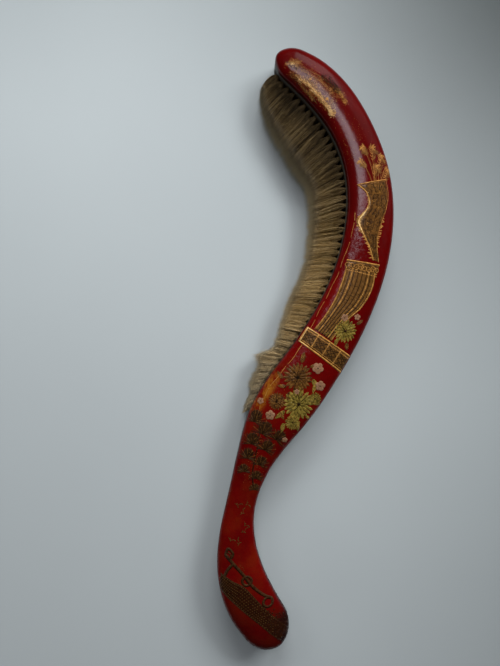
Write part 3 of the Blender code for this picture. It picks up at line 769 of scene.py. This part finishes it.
FLECKS = (
    # layer, path of places, spread, flecks, smallest and largest radius
    ("dark", ((28, 2.4), (34, 3.0), (39, 3.2)), 1.1, 420, 0.12, 0.34),
    ("dark", ((18, -4.6), (26, -3.6), (34, -3.2), (44, -3.4)), 1.5, 420, 0.10, 0.22),
    ("dark", ((10, -3.0), (14, -2.0), (19, -1.6)), 1.1, 200, 0.10, 0.22),
    ("dark", ((13, -6.8), (19, -8.0), (27, -8.6), (36, -9.0)), 1.0, 360, 0.10, 0.26),
    # Bright gold flecks, partly painted highlight: they gather where the coat's highlight falls on the gold.
    ("gold_and_painted_glint", ((17, -6.6), (24, -5.9), (32, -6.0), (40, -6.2), (47, -5.6)), 0.75, 520, 0.09, 0.30),
    ("gold_and_painted_glint", ((43, -6.2), (46, -6.8), (49, -6.4)), 0.7, 120, 0.10, 0.30),
    ("gold_and_painted_glint", ((9, -3.0), (11, -1.8), (13, -0.2)), 0.8, 60, 0.10, 0.26),
    ("gold_and_painted_glint", ((22, -3.2), (30, -2.0), (38, -2.0), (46, -3.8)), 1.3, 330, 0.08, 0.17),
    ("gold_and_painted_glint", ((96, -3.2), (104, -2.0), (110, -5.4), (116, -6.2), (122, -2.4)), 0.35, 240, 0.10, 0.26),
    ("tan", ((278, -7.6), (284, -7.8), (292, -8.4)), 0.5, 60, 0.08, 0.20),
    ("tan", ((317, 1.0), (319, 2.0), (321, 2.4)), 0.5, 24, 0.08, 0.18),
    ("shade", ((352, 5.0), (358, 6.0), (364, 7.0)), 2.6, 420, 0.25, 0.60),
)
# Run, side and radius
CLOUD_CURLS = ((12.5, -0.8, 1.3), (27.5, -2.9, 1.4), (41.0, -3.4, 1.4), (47.6, -6.2, 1.3), (46.0, 2.6, 1.3),
               (29.5, -8.0, 1.2))
CLOUD_BLOSSOMS = ((24.0, -3.2, 0.80), (38.6, -4.2, 0.90))
PALE_BLOSSOMS = ((197.2, 2.6, 3.1), (204.2, 9.2, 2.8), (166.6, 1.0, 2.0), (163.4, 7.0, 1.7),
                 (232.4, -4.0, 2.6), (229.0, -12.4, 1.7), (240.4, 9.8, 1.6), (214.0, 0.6, 1.5))
BAND_RINGS = ((326.5, 2.9, 2.5), (343.2, 9.2, 2.7))
PLUME_STALKS = (
    # foot and head of each stalk, and the length of its plume
    ((96, 1.5), (72.5, 0.2), 11.0), ((97, 2.4), (74.0, 3.6), 12.0), ((98, 3.0), (79.0, 7.0), 11.0),
    ((97, 1.0), (79.0, -2.8), 9.0), ((98, 3.4), (86.0, 9.0), 8.0), ((96, 2.0), (83.5, 3.0), 7.0),
)
STREAM_STEPS = 70
STREAM_RIGHT = ((91, 8.2), (98, 8.8), (105, 7.6), (112, 5.4), (119, 4.2), (126, 4.8), (133, 7.4))
STREAM_LEFT = ((92, -7.0), (97, -3.0), (103, -2.0), (108, -4.2), (113, -7.0), (119, -4.4), (126, 0.4),
               (133, 4.4))
# The stretch of the left bank that carries a painted highlight of bright gold, in steps
BANK_HIGHLIGHT = slice(24, 52)
STREAM_LINES = 9
STREAM_CURL_SIDES = (5.2, 1.6, 4.4, 1.2, -1.4, -0.8, 1.4, 3.0, 5.2)
REED_STEPS = 44
REED_RIGHT = ((139, 7.2), (148, 8.2), (158, 6.6), (166, 3.2), (174, 1.2), (181, 0.4))
REED_LEFT = ((140, -8.4), (149, -8.0), (158, -7.8), (166, -8.2), (174, -9.0), (180, -10.0))
REEDS = 7
# The reeds' joints are drawn this little towards the tip
JOINT_SHIFT_SHARE = 0.999
SCROLL_RUN = 137.0
# Runs of the lattice's two edges at its two ends, and the sides of those ends
LATTICE_START = (181.2, 183.0)
LATTICE_END = (190.2, 192.2)
LATTICE_SIDES = (-14.0, 15.2)
LATTICE_STEPS = 60
LATTICE_HIGHLIGHT_STEPS = 17
LATTICE_CELLS = 4
# Petals in each ring of a chrysanthemum, their start, end and width as shares of its radius
PETAL_RING_SHARES = ((20, 0.42, 1.0, 0.21), (15, 0.24, 0.72, 0.19), (9, 0.08, 0.44, 0.16))
FLOWERS = (
    # run, side, radius, turn and layer of each chrysanthemum
    (207.4, -3.4, 8.0, 0.3, "brown"), (219.0, 5.4, 8.6, 0.9, "olive"), (172.8, 4.6, 6.4, 0.2, "olive"),
    (224.4, -5.2, 4.8, 0.5, "brown"), (229.4, 8.4, 4.4, 0.1, "olive"), (211.4, 11.0, 3.6, 0.6, "olive"),
)
LEAVES = (
    # run, side, direction in degrees, length, width and layer
    (200.0, -6.4, 200, 6.5, 2.8, "brown"), (203.5, 3.4, 60, 6.5, 2.8, "olive"),
    (213.0, -9.6, 250, 5.0, 2.4, "brown"), (213.5, 11.0, 110, 5.0, 2.4, "olive"),
    (227.5, 10.2, 35, 6.0, 2.4, "olive"), (226.0, 1.2, -20, 7.0, 2.8, "olive"),
    (215.0, -5.4, -60, 5.0, 2.4, "brown"), (222.0, 12.0, 80, 4.0, 2.0, "olive"),
    (178.0, 3.0, 10, 4.6, 2.2, "olive"), (167.0, 8.4, 150, 4.5, 2.0, "brown"),
    (177.4, 8.8, 30, 4.4, 2.2, "brown"), (232.0, 4.6, 15, 6.0, 2.6, "olive"),
    (199.0, -1.6, 140, 5.0, 2.2, "brown"), (216.4, -2.6, 20, 6.0, 2.6, "brown"),
    (212.4, 1.6, -150, 5.0, 2.2, "olive"), (228.0, -0.8, 60, 5.0, 2.4, "brown"),
    (176.0, -1.6, -40, 4.6, 2.2, "olive"), (205.0, 6.4, 20, 5.0, 2.2, "olive"),
)
NEEDLES = 26
PINE_FANS = (
    # run, side, radius and direction in degrees
    (239.5, -9.6, 6.4, 190), (243.0, -2.6, 7.4, 180), (242.5, 5.6, 6.4, 165), (250.5, -5.4, 6.4, 195),
    (250.5, 2.6, 6.2, 175), (258.5, -4.4, 5.6, 190), (259.5, 3.2, 5.4, 175), (267.5, 3.8, 4.6, 185),
    (266.0, -3.6, 4.2, 200), (274.0, 5.0, 3.6, 185),
)
PINE_BRANCH = ((274, 4.6), (266, 1.4), (257, -0.6), (248, -2.4), (238, -6.8))
# Run, side and direction in degrees
FALLING_LEAVES = ((284.0, -3.6, 70), (289.5, 0.4, 130), (293.0, 3.4, 20), (299.0, 2.0, 100),
                  (302.0, -4.6, 40), (306.5, 0.6, 150), (281.0, 2.8, 10))
BAND_RIGHT = ((320, -10.4), (325, -4.6), (330, 0.8), (341, 4.8), (352, 7.2), (364, 8.8))
BAND_LEFT = ((327, -12.9), (332, -10.0), (337, -7.0), (345, -3.2), (353, -0.6), (366, 1.6))
BAND_ROWS = 7
BAND_DOTS = 34
BAND_CORDS = (
    # path of places and width
    (((311, -6.4), (315, -3.2), (322, 1.4), (331, 5.2), (339, 9.4), (343, 11.8), (346, 10.4)), 1.35),
    (((316, -2.8), (319, -6.4), (323, -9.4)), 1.2),
    (((311, -6.4), (308, -4.6), (310.5, -2.2), (313, -3.4)), 1.1),
)
EDGE_STEPS = 240
# Steps at the end of the line that may stay bare
EDGE_REST = 8
EDGE_LINE = ((108, -9.2), (120, -9.6), (134, -11.0), (147, -11.6), (160, -12.4), (172, -12.6), (183, -12.0),
             (192, -11.4), (202, -11.6), (212, -12.2), (222, -12.4), (230, -11.2), (238, -9.4))


def curve(places, count=40):
    """Smooth path through a few places."""
    shares = np.linspace(0, 1, len(places))
    wanted = np.linspace(0, 1, count)
    return np.column_stack([read_table(list(zip(shares, column)), wanted) for column in zip(*places)])


def follow_path(path, shares):
    """Places at shares of a path."""
    return read_path(path, np.linspace(0, 1, len(path)), shares)


def left_of(path):
    """Unit vectors to the left of a path."""
    return turned(unit(np.gradient(path, axis=0)))


class Motif:
    """Closed raised shapes that lie on the dome, collected for one piece."""

    def __init__(self):
        self.places = []
        self.faces = {4: [], 3: []}
        self.count = 0

    def put(self, places, *blocks):
        """Take in places of run, side and lift, with blocks of their faces."""
        for block in blocks:
            self.faces[block.shape[1]].append(block + self.count)
        self.places.append(places.reshape(-1, 3))
        self.count += len(self.places[-1])

    def tube(self, rings):
        """Closed tube through rings of an even number of corners."""
        sides = rings.shape[1]
        index, _, body = ring_faces(len(rings), sides)
        rows = np.array([(j, j + 1, sides - 2 - j, sides - 1 - j) for j in range(sides // 2 - 1)])
        self.put(rings, np.concatenate([body, index[0][rows[:, ::-1]], index[-1][rows]]))

    def stroke(self, path, width, lift=0.05, base=0.0):
        """Ridge along a path, with one width or one for each point."""
        half = left_of(path) * np.reshape(width, (-1, 1)) / 2
        rim = base - SINK
        corners = ((path + half, rim), (path, base + lift), (path - half, rim), (path, base - UNDER))
        self.tube(np.stack([raised(flat, height) for flat, height in corners], axis=1))

    def line(self, start, end, count, width, lift=0.05, base=0.0):
        """Straight ridge between two places."""
        self.stroke(np.linspace(start, end, count), width, lift, base)

    def slab(self, left, right, columns, lift=0.05, base=0.0):
        """Thin plate between two edges; seen along them, left is to the left."""
        grid = between(left[:, None], right[:, None], np.linspace(0, 1, columns + 1)[:, None])
        rise = np.full(grid.shape[:2], base + lift)
        rise[:, [0, -1]] = base - SINK
        rise[[0, -1]] = base - SINK
        self.tube(np.concatenate([raised(grid, rise), raised(grid, base - UNDER)[:, ::-1]], axis=1))

    def leaf(self, start, angle, length, width, bend=0.0, lift=0.07, base=0.0, blunt=0.8):
        """Pointed leaf or petal with a ridge, from its stalk."""
        shares = np.linspace(0, 1, LEAF_RINGS)
        steps = toward(angle + bend * (shares - 0.5))[:-1] * length / (LEAF_RINGS - 1)
        path = start + walk(steps)
        half = left_of(path) * (np.sin(math.pi * shares ** blunt) ** 0.8 * width / 2)[:, None]
        self.slab(path + half, path - half, 4, lift, base)

    def bosses(self, centres, radii, lift=0.05, base=0.0, sides=6, inner=(), turns=0.0):
        """Low round bosses; inner lists the rings between rim and middle as shares of the radius."""
        centres = np.reshape(centres, (-1, 1, 2))
        angles = np.linspace(0, 2 * math.pi, sides, endpoint=False) + np.reshape(turns, (-1, 1))
        rim = toward(angles) * np.reshape(radii, (-1, 1, 1))
        rings = [raised(centres + rim, base - SINK)]
        for share in inner:
            rings.append(raised(centres + rim * share, base + lift * (1 - 0.35 * share ** 2)))
        index, after, quads = ring_faces(len(rings), sides)
        rings += [raised(centres, base + lift), raised(centres, base - UNDER)]
        peak = index.size
        fans = np.concatenate([fan(index[-1], after[-1], peak), fan(after[0], index[0], peak + 1)])
        faces = [repeated(block, len(centres), peak + 2) for block in (quads, fans)]
        self.put(np.concatenate(rings, axis=1), *faces)

    def build(self, name, material):
        """Piece of all the shapes collected."""
        run, side, lift = np.concatenate(self.places).T * MM
        reach = at(HALF_WIDTHS, np.clip(run / SPINE_LENGTH, 0, 1)) * SAFE_SHARE
        points = on_dome(run, np.clip(side, -reach, reach), lift)
        blocks = [np.concatenate(rows) for rows in self.faces.values() if rows]
        return add_piece(make_mesh(name, points, blocks), material)


def curl(motif, centre, radius, turn, width=0.28, turns=1.4, base=0.0, hand=1):
    """Spiral scroll that winds in to its middle."""
    shares = np.linspace(0, 1, CURL_STEPS)
    angles = turn + hand * shares * turns * 2 * math.pi
    path = centre + toward(angles) * (radius * (1 - 0.82 * shares))[:, None]
    motif.stroke(path, width * (1 - 0.4 * shares), base=base)


def blossom(petals, hearts, centre, radius, turn, base=0.0):
    """Five round petals about a small heart with stamens."""
    out = toward(turn + np.arange(5) * 2 * math.pi / 5) * radius
    petals.bosses(centre + out * 0.56, radius * 0.46, 0.08, base, 14, (0.8, 0.4))
    petals.bosses(centre, radius * 0.40, 0.09, base, 10, (0.7,))
    hearts.bosses(centre, radius * 0.16, 0.06, base + 0.08, 8)
    for step in out:
        hearts.line(centre + step * 0.15, centre + step * 0.50, 4, radius * 0.05, 0.03, base + 0.075)
        hearts.bosses(centre + step * 0.54, radius * 0.06, 0.04, base + 0.075, 6)


def chrysanthemum(fills, lines, centre, radius, turn, rng):
    """Rings of narrow petals, the inner ones higher, each with a fine vein."""
    lines.bosses(centre, radius * 0.62, 0.03, 0.0, 18, (0.9, 0.5))
    for ring, (count, start, end, wide) in enumerate(PETAL_RING_SHARES):
        base = 0.02 + 0.045 * ring
        for k in range(count):
            angle = turn + ring * 0.17 + k * 2 * math.pi / count + rng.normal(0, 0.03)
            foot = centre + toward(angle) * radius * start
            length = radius * (end - start) * rng.uniform(0.92, 1.04)
            fills.leaf(foot, angle, length, radius * wide, rng.normal(0, 0.12), 0.055, base, blunt=1.25)
            lines.line(foot, foot + toward(angle) * length * 0.72, 5, radius * 0.022, 0.02, base + 0.05)
    lines.bosses(centre, radius * 0.09, 0.05, 0.16, 10, (0.7,))


def plume(motif, foot, head, length, rng):
    """Grass stalk with a drooping plume of short hairs at its head."""
    foot = np.array(foot)
    head = np.array(head)
    bow = np.array([0, 1.6 if head[1] > foot[1] else -1.2])
    path = curve((foot, (foot + head) / 2 - bow * 0.4, head + bow * 0.2, head + bow), 30)
    motif.stroke(path, np.linspace(0.24, 0.14, 30))
    for share in np.linspace(max(1 - length / np.linalg.norm(head - foot), 0.3), 1, 13):
        ahead = follow_path(path, share + 0.02) - follow_path(path, share - 0.02)
        for hand in (-1, 1):
            angle = math.atan2(ahead[1], ahead[0]) + hand * rng.uniform(0.35, 0.75)
            motif.leaf(follow_path(path, share), angle, rng.uniform(1.3, 2.6), 0.34, hand * -0.7, 0.05)


def pine_fan(layers, centre, radius, direction, rng):
    """Half round fan of needles with a knot at its foot."""
    light = layers["umber"]
    light.bosses(centre + toward(direction) * radius * 0.42, radius * 0.46, 0.04, 0.0, 16, (0.85, 0.5))
    for k in range(NEEDLES):
        share = k / (NEEDLES - 1)
        angle = direction + (share - 0.5) * 3.7 + rng.normal(0, 0.03)
        tip = centre + toward(angle) * radius * rng.uniform(0.86, 1.0) * (1 - 0.18 * abs(2 * share - 1))
        needle = layers[("umber", "dark", "brown", "dark")[k % 4]]
        needle.line(centre, tip, 5, np.linspace(0.42, 0.24, 5), 0.05, 0.035)
    light.bosses(centre, 0.42, 0.05, 0.04, 10)


def paint_dust(layers, rng):
    """Drifting clouds of gold flakes at the tip of the head and down it."""
    for path, spread, count, small, large in CLOUD_PATHS:
        middle = follow_path(curve(path), rng.uniform(0, 1, count))
        clumps = count // FLAKES_PER_CLUMP + 1
        clump = rng.normal(0, spread * 0.85, (clumps, 2))[rng.integers(0, clumps, count)]
        centres = middle + clump * 0.8 + rng.normal(0, spread * 0.45, (count, 2))
        radii = between(small, large, rng.uniform(0, 1, count) ** 2.2)
        bright = rng.uniform(0, 1, count) < 0.55
        for name, chosen in (("gold", bright), ("dull", ~bright)):
            turns = rng.uniform(0, 6, chosen.sum())
            layers[name].bosses(centres[chosen], radii[chosen], 0.035, 0.0, 5, turns=turns)


def paint_flecks(layers, rng):
    """Dark, bright and tan flecks over the dust, the stream and the handle; the bright flecks are gold with a
    painted glint where the highlight falls.
    """
    for name, path, spread, count, small, large in FLECKS:
        spots = follow_path(curve(path), rng.uniform(0, 1, count)) + rng.normal(0, spread, (count, 2))
        radii = between(small, large, rng.uniform(0, 1, count) ** 2)
        layers[name].bosses(spots, radii, 0.04, 0.035, 5, turns=rng.uniform(0, 6, count))


def paint_mist(layers, rng):
    """Ragged bands of mist in the dust, with curls and small blossoms."""
    shares = np.linspace(0, 1, 50)
    ragged = np.sin(math.pi * shares) ** 0.5 * (0.8 + 0.25 * np.sin(9 * shares) + 0.12 * np.sin(31 * shares))
    for name, path, width in MIST_BANDS:
        line = curve(path, 50)
        half = left_of(line) * width * ragged[:, None] / 2
        layers[name].slab(line + half, line - half, 4, 0.035)
    for run, side, radius in CLOUD_CURLS:
        curl(layers["gold"], (run, side), radius, rng.uniform(0, 6), 0.30, 1.3, 0.02)
    for run, side, radius in CLOUD_BLOSSOMS:
        blossom(layers["gold"], layers["dark"], (run, side), radius, rng.uniform(0, 6), 0.03)


def paint_grass(layers, rng):
    """Tall grass with plumes."""
    for foot, head, length in PLUME_STALKS:
        plume(layers["gold"], foot, head, length, rng)
        plume(layers["dull"], np.array(foot) + (0.6, 0.5), np.array(head) + (2.4, 0.9), length * 0.8, rng)


def paint_waves(layers, rng, right, left):
    """Wave lines and curls along the stream."""
    shares = np.linspace(0, 1, STREAM_STEPS)
    for k in range(1, STREAM_LINES):
        path = between(right, left, k / STREAM_LINES)
        path = path + left_of(path) * (0.22 * np.sin(46 * shares + 2.2 * k))[:, None]
        for start in np.arange(0.02, 0.94, 0.165):
            low = int((start + 0.02 * rng.uniform()) * (STREAM_STEPS - 1))
            high = int(min(start + 0.135, 1) * (STREAM_STEPS - 1))
            layers["dark" if k % 2 else "tan"].stroke(path[low:high + 1], 0.42, 0.04, 0.03)
    for run, side in zip(np.linspace(95, 130, len(STREAM_CURL_SIDES)), STREAM_CURL_SIDES):
        curl(layers["dark"], (run, side), 1.6, rng.uniform(0, 6), 0.42, 1.6, 0.035)
        curl(layers["gold"], (run + 1.7, side - 0.9), 0.9, rng.uniform(0, 6), 0.26, 1.2, 0.045)


def paint_stream(layers, rng):
    """Winding stream of brown gold with wave lines and bright grassy banks; a stretch of the left bank
    carries a painted highlight.
    """
    gold = layers["gold"]
    right = curve(STREAM_RIGHT, STREAM_STEPS)
    left = curve(STREAM_LEFT, STREAM_STEPS)
    layers["brown"].slab(right, left, 12, 0.035)
    paint_waves(layers, rng, right, left)
    swell = 1.0 + 1.9 * np.exp(-((np.linspace(0, 1, STREAM_STEPS) - 0.54) / 0.12) ** 2)
    gold.stroke(left, swell, 0.12)
    # Painted highlight of bright gold on the left bank's brightest stretch.
    layers["gold_and_painted_glint"].stroke(left[BANK_HIGHLIGHT], 0.38 * swell[BANK_HIGHLIGHT], 0.06, 0.09)
    gold.stroke(right, 0.55 * np.linspace(0.35, 1, STREAM_STEPS), 0.07)
    gold.line(right[0] + (-0.3, 0.4), left[0] + (-0.3, -0.6), 20, 0.8, 0.08)
    banks = (
        # bank, shares of it, angles, shortest and longest blade, width and lift
        (left, np.linspace(0.50, 0.97, 20), (-2.4, -0.7), (1.1, 2.2), 0.62, 0.07),
        (right, np.linspace(0.46, 0.80, 14), (0.5, 2.4), (1.0, 2.0), 0.52, 0.06),
    )
    for bank, shares, angles, lengths, width, lift in banks:
        for foot in follow_path(bank, shares):
            gold.leaf(foot, rng.uniform(*angles), rng.uniform(*lengths), width, 0.4, lift)


def paint_reeds(layers, rng):
    """Bundle of reeds along the head, tied across."""
    right = curve(REED_RIGHT, REED_STEPS)
    left = curve(REED_LEFT, REED_STEPS)
    layers["tan"].slab(right, left, 16, 0.035)
    for k in range(REEDS + 1):
        path = between(right, left, k / REEDS)
        outer = k in (0, REEDS)
        layers["gold" if outer else "dark"].stroke(path, 0.85 if outer else 0.55, 0.05, 0.03)
        if k < REEDS:
            reed = between(right, left, k / REEDS + 0.5 / REEDS)
            layers["gold" if k in (1, 5) else "dull"].stroke(reed, 0.75, 0.05, 0.032)
            for joint in rng.uniform(0.08, 0.94, 3):
                spot = int(joint * (REED_STEPS - 1))
                start = path[spot] * JOINT_SHIFT_SHARE
                end = reed[spot] * JOINT_SHIFT_SHARE * 2 - start
                layers["dark"].line(start, end, 4, 0.34, 0.04, 0.05)
    for share in (0.30, 0.34, 0.72, 0.76):
        spot = int(share * (REED_STEPS - 1))
        layers["brown"].line(right[spot], left[spot], 20, 0.42, 0.05, 0.055)


def paint_scrolls(layers):
    """Band of cloud scrolls between the stream and the reeds."""
    top = np.linspace((SCROLL_RUN - 2.6, 8.4), (SCROLL_RUN - 0.8, -9.4), 30)
    low = np.linspace((SCROLL_RUN + 3.4, 8.6), (SCROLL_RUN + 4.6, -8.8), 30)
    layers["brown"].slab(low[::-1], top[::-1], 5, 0.035)
    for k, share in enumerate(np.linspace(0.05, 0.95, 8)):
        centre = follow_path((top + low) / 2, share)
        curl(layers["gold"], centre, 1.9, 0.4 + k, 0.46, 1.4, 0.035, 1 if k % 2 else -1)
    layers["gold"].stroke(top, 0.90, 0.07, 0.02)
    layers["gold"].stroke(low, 0.60, 0.07, 0.02)


def paint_cell(dark, corners):
    """Crossed lines and a diamond in one cell of the lattice."""

    def spot(across, down):
        upper = between(corners[0], corners[1], across)
        under = between(corners[2], corners[3], across)
        return between(upper, under, down)

    for start in (0.17, 0.5, 0.83):
        for end in (0.17, 0.5, 0.83):
            if start != end:
                dark.line(spot(0.08, start), spot(0.92, end), 10, 0.46, 0.05, 0.035)
    for down in (0.17, 0.83):
        for across in (0.08, 0.92):
            dark.line(spot(0.5, down), spot(across, 0.5), 6, 0.30, 0.04, 0.037)


def paint_lattice(layers):
    """Slanted lattice band right across the head: gold borders and cells, with a painted highlight in bright
    gold at its left end.
    """
    sides = np.linspace(*LATTICE_SIDES, LATTICE_STEPS)
    slant = np.linspace(0, 1, LATTICE_STEPS)
    highlight_widths = np.linspace(0.55, 0.12, LATTICE_HIGHLIGHT_STEPS)
    top = np.column_stack([between(*LATTICE_START, slant), sides])
    low = np.column_stack([between(*LATTICE_END, slant), sides])
    layers["tan"].slab(top, low, 6, 0.035)
    for share, width in ((0.0, 1.1), (1.0, 1.1), (0.14, 0.3), (0.86, 0.3)):
        layers["gold"].stroke(between(top, low, share), width, 0.06, 0.03)
    # Painted highlight: bright gold along the left end of both edges and across that end.
    for edge in (top, low):
        layers["gold_and_painted_glint"].stroke(edge[:LATTICE_HIGHLIGHT_STEPS], highlight_widths, 0.04, 0.075)
    layers["gold_and_painted_glint"].line(top[1], low[1], 8, 0.45, 0.05, 0.06)
    for cell in range(LATTICE_CELLS):
        shares = np.array([cell, cell + 1]) / LATTICE_CELLS
        corners = np.concatenate([follow_path(edge, shares) for edge in (top, low)])
        layers["gold"].line(corners[0], corners[2], 8, 0.60, 0.05, 0.035)
        paint_cell(layers["dark"], corners)


def paint_flowers(layers, rng):
    """Chrysanthemums with leaves, and pale blossoms among them."""
    for run, side, angle, length, width, name in LEAVES:
        heading = math.radians(angle)
        stalk = np.array((run, side))
        end = stalk + toward(heading) * length * 0.85
        layers[name].leaf(stalk, heading, length, width, rng.normal(0, 0.4), 0.05)
        layers["dark"].line(stalk, end, 8, 0.20, 0.03, 0.05)
        for share in (0.25, 0.45, 0.65):
            foot = between(stalk, end, share)
            for hand in (-1, 1):
                tip = foot + toward(heading + hand * 0.8) * width * 0.42
                layers["gold"].line(foot, tip, 4, 0.14, 0.025, 0.05)
    for run, side, radius, turn, name in FLOWERS:
        chrysanthemum(layers[name], layers["dark"], (run, side), radius, turn, rng)
        layers["gold"].bosses((run, side) + rng.normal(0, radius * 0.36, (46, 2)), 0.13, 0.05, 0.13, 5)
    for run, side, radius in PALE_BLOSSOMS:
        blossom(layers["pale"], layers["dark"], (run, side), radius, rng.uniform(0, 6), 0.05)


def paint_pine(layers, rng):
    """Dark pine spray at the neck: a branch, fans of needles and gold dust."""
    branch = curve(PINE_BRANCH, 40)
    layers["dark"].stroke(branch, np.linspace(1.1, 0.5, 40), 0.06)
    for run, side, radius, direction in PINE_FANS:
        near = branch[np.argmin(np.linalg.norm(branch - (run, side), axis=1))]
        layers["dark"].line(near, (run, side), 6, 0.45, 0.05)
        pine_fan(layers, (run, side), radius * 1.12, math.radians(direction), rng)
    layers["gold"].bosses(curve(PINE_BRANCH, 90) + rng.normal(0, 2.6, (90, 2)), 0.10, 0.05, 0.05, 5)


def paint_falling_leaves(layers, rng):
    """Small dark gold sprigs that drift down the handle."""
    worn = layers["worn"]
    for run, side, angle in FALLING_LEAVES:
        heading = math.radians(angle)
        foot = np.array((run, side))
        stem = curve((foot, foot + toward(heading) * 1.8, foot + toward(heading + 0.5) * 3.6), 9)
        worn.stroke(stem, 0.30)
        for spot, hand in ((2, 1), (4, -1), (6, 1), (8, 0)):
            worn.leaf(stem[spot], heading + 0.3 + 0.9 * hand, rng.uniform(0.9, 1.7), 0.6, 0.3, 0.05)


def paint_cord(layers, path, width):
    """Umber cord with a row of dark gold dots on it."""
    layers["umber"].stroke(path, width, 0.06)
    layers["worn"].bosses(path[::3], 0.26, 0.04, 0.045, 5)


def paint_band(layers, rng):
    """Dark dotted textile band with cords and rings, on the handle."""
    right = curve(BAND_RIGHT, 60)
    left = curve(BAND_LEFT, 60)
    layers["shade"].slab(right, left, 10, 0.03)
    for k in range(BAND_ROWS):
        path = between(right, left, (k + 0.5) / BAND_ROWS)
        shares = (np.arange(BAND_DOTS) + 0.5 * (k % 2)) / BAND_DOTS
        keep = rng.uniform(0, 1, BAND_DOTS) < 0.94 - 0.75 * smooth_step(shares, 0.68, 1.0)
        layers["worn"].bosses(follow_path(path, shares)[keep], 0.40, 0.07, 0.025, 6)
    for edge in (right, left):
        layers["umber"].stroke(edge, 0.6, 0.05, 0.02)
    for run, side, radius in BAND_RINGS:
        paint_cord(layers, (run, side) + toward(np.linspace(0, 2 * math.pi, 40)) * radius, 1.9)
    for path, width in BAND_CORDS:
        paint_cord(layers, curve(path, 50), width * 1.7)
    curl(layers["umber"], (311.5, -5.4), 2.2, 0.6, 0.9, 1.2)


def paint_edge(layers, rng):
    """Fine gold line along the concave edge, broken where it has worn, with flecks beside it."""
    line = curve(EDGE_LINE, EDGE_STEPS)
    line = line + left_of(line) * (0.16 * np.sin(np.linspace(0, 60, EDGE_STEPS)))[:, None]
    start = 0
    while start < EDGE_STEPS - EDGE_REST:
        length = int(rng.integers(9, 34))
        layers["gold"].stroke(line[start:start + length], rng.uniform(0.24, 0.42), 0.04)
        start += length + int(rng.integers(1, 4))
    flecks = follow_path(line, rng.uniform(0.5, 1, 260)) + rng.normal(0, 0.9, (260, 2))
    layers["dull"].bosses(flecks, 0.12, 0.03, 0.0, 5)


def make_decoration():
    """All the ornament of the red back, one piece for each layer."""
    finishes = {
        # Bright gold with a painted glint: its pale colour stands in for the highlight on gold powder.
        "gold_and_painted_glint": gilt("gold_with_painted_glint", (0.640, 0.310, 0.070), (1.000, 0.720, 0.350), 0.15, 0.25, 0.40),
        "gold": gilt("gold_powder", (0.190, 0.076, 0.011), (0.800, 0.390, 0.095), 0.30),
        "dull": gilt("dull_gold", (0.090, 0.036, 0.006), (0.300, 0.140, 0.032), 0.30),
        "tan": gilt("tan_gold", (0.085, 0.034, 0.007), (0.210, 0.096, 0.024), 0.25),
        "brown": paint("brown_gold_paint", (0.028, 0.010, 0.003), (0.165, 0.070, 0.015)),
        "umber": paint("umber_paint", (0.016, 0.005, 0.002), (0.056, 0.022, 0.007)),
        "olive": paint("olive_gold_paint", (0.060, 0.042, 0.006), (0.300, 0.215, 0.040)),
        "pale": paint("pale_rose_paint", (0.200, 0.098, 0.052), (0.320, 0.172, 0.098)),
        "worn": gilt("worn_dark_gold", (0.030, 0.014, 0.003), (0.140, 0.072, 0.018), 0.25),
        "shade": paint("dark_umber_paint", (0.014, 0.003, 0.001), (0.034, 0.009, 0.003)),
        "dark": paint("brown_black_paint", (0.006, 0.003, 0.001), (0.022, 0.010, 0.004)),
    }
    rng = np.random.default_rng(DECORATION_SEED)
    layers = {name: Motif() for name in finishes}
    for paint_part in (paint_dust, paint_flecks, paint_mist, paint_grass, paint_stream, paint_reeds):
        paint_part(layers, rng)
    paint_scrolls(layers)
    paint_lattice(layers)
    for paint_part in (paint_flowers, paint_pine, paint_falling_leaves, paint_band, paint_edge):
        paint_part(layers, rng)
    for name, motif in layers.items():
        motif.build("ornament_" + name, finishes[name])


def dress_frame(finishes):
    """Give the solids that stay their own materials, by the start of their names."""
    for name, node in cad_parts.items():
        for start, material in finishes.items():
            if name.startswith(start):
                for slot_item in node.material_slots:
                    slot_item.material = material


def add_light(name, place, target, size, power, colour, glossy):
    """Soft rectangular light that points at a target."""
    data = bpy.data.lights.new(name, 'AREA')
    data.shape = 'RECTANGLE'
    data.size, data.size_y = size
    data.energy = power
    data.color = colour
    light = add_object(name, data)
    light.location = place
    light.rotation_euler = (Vector(target) - Vector(place)).to_track_quat('-Z', 'Y').to_euler()
    light.visible_glossy = glossy


def make_floor():
    """Table top just under the brush."""
    corners = FLOOR_HALF * np.array([[-1, -1], [1, -1], [1, 1], [-1, 1]])
    mesh = make_mesh("floor", raised(corners, -FLOOR_DROP), [np.array([[0, 1, 2, 3]])], smooth=False)
    mesh.materials.append(floor_paper())
    floor = add_object("floor", mesh)


def make_studio():
    """World, lights and the camera straight above."""
    world = bpy.data.worlds.new("soft_room")
    world.use_nodes = True
    world.node_tree.nodes["Background"].inputs["Color"].default_value = (0.88, 0.95, 1.0, 1)
    world.node_tree.nodes["Background"].inputs["Strength"].default_value = 0.012
    bpy.context.scene.world = world
    bpy.context.scene.view_settings.view_transform = 'Standard'
    for light in LIGHTS:
        add_light(*light)
    camera_data = bpy.data.cameras.new("camera")
    camera_data.sensor_fit = 'AUTO'
    camera_data.angle = CAMERA_ANGLE
    camera_data.clip_start = 0.01
    camera = add_object("camera", camera_data)
    camera.location = CAMERA_PLACE
    bpy.context.scene.camera = camera


def main():
    """Dress the frame, make the pieces and set the studio up."""
    wood = dark_wood()
    dress_frame({
        "black_underbody": black_lacquer(),
        "bristle_stock": wood,
        "draw_wire": metal("draw_wire_brass", (0.18, 0.10, 0.03), (0.55, 0.38, 0.15), 0.3, 0.5),
        "stock_brad": metal("brad_iron", (0.06, 0.05, 0.045), (0.25, 0.23, 0.21), 0.35, 0.6),
    })
    make_back(red_lacquer())
    make_facing(wood)
    make_decoration()
    hair_material = hair_coat()
    for group in range(GROUPS):
        make_hair(group, hair_material)
    make_floor()
    make_studio()


main()
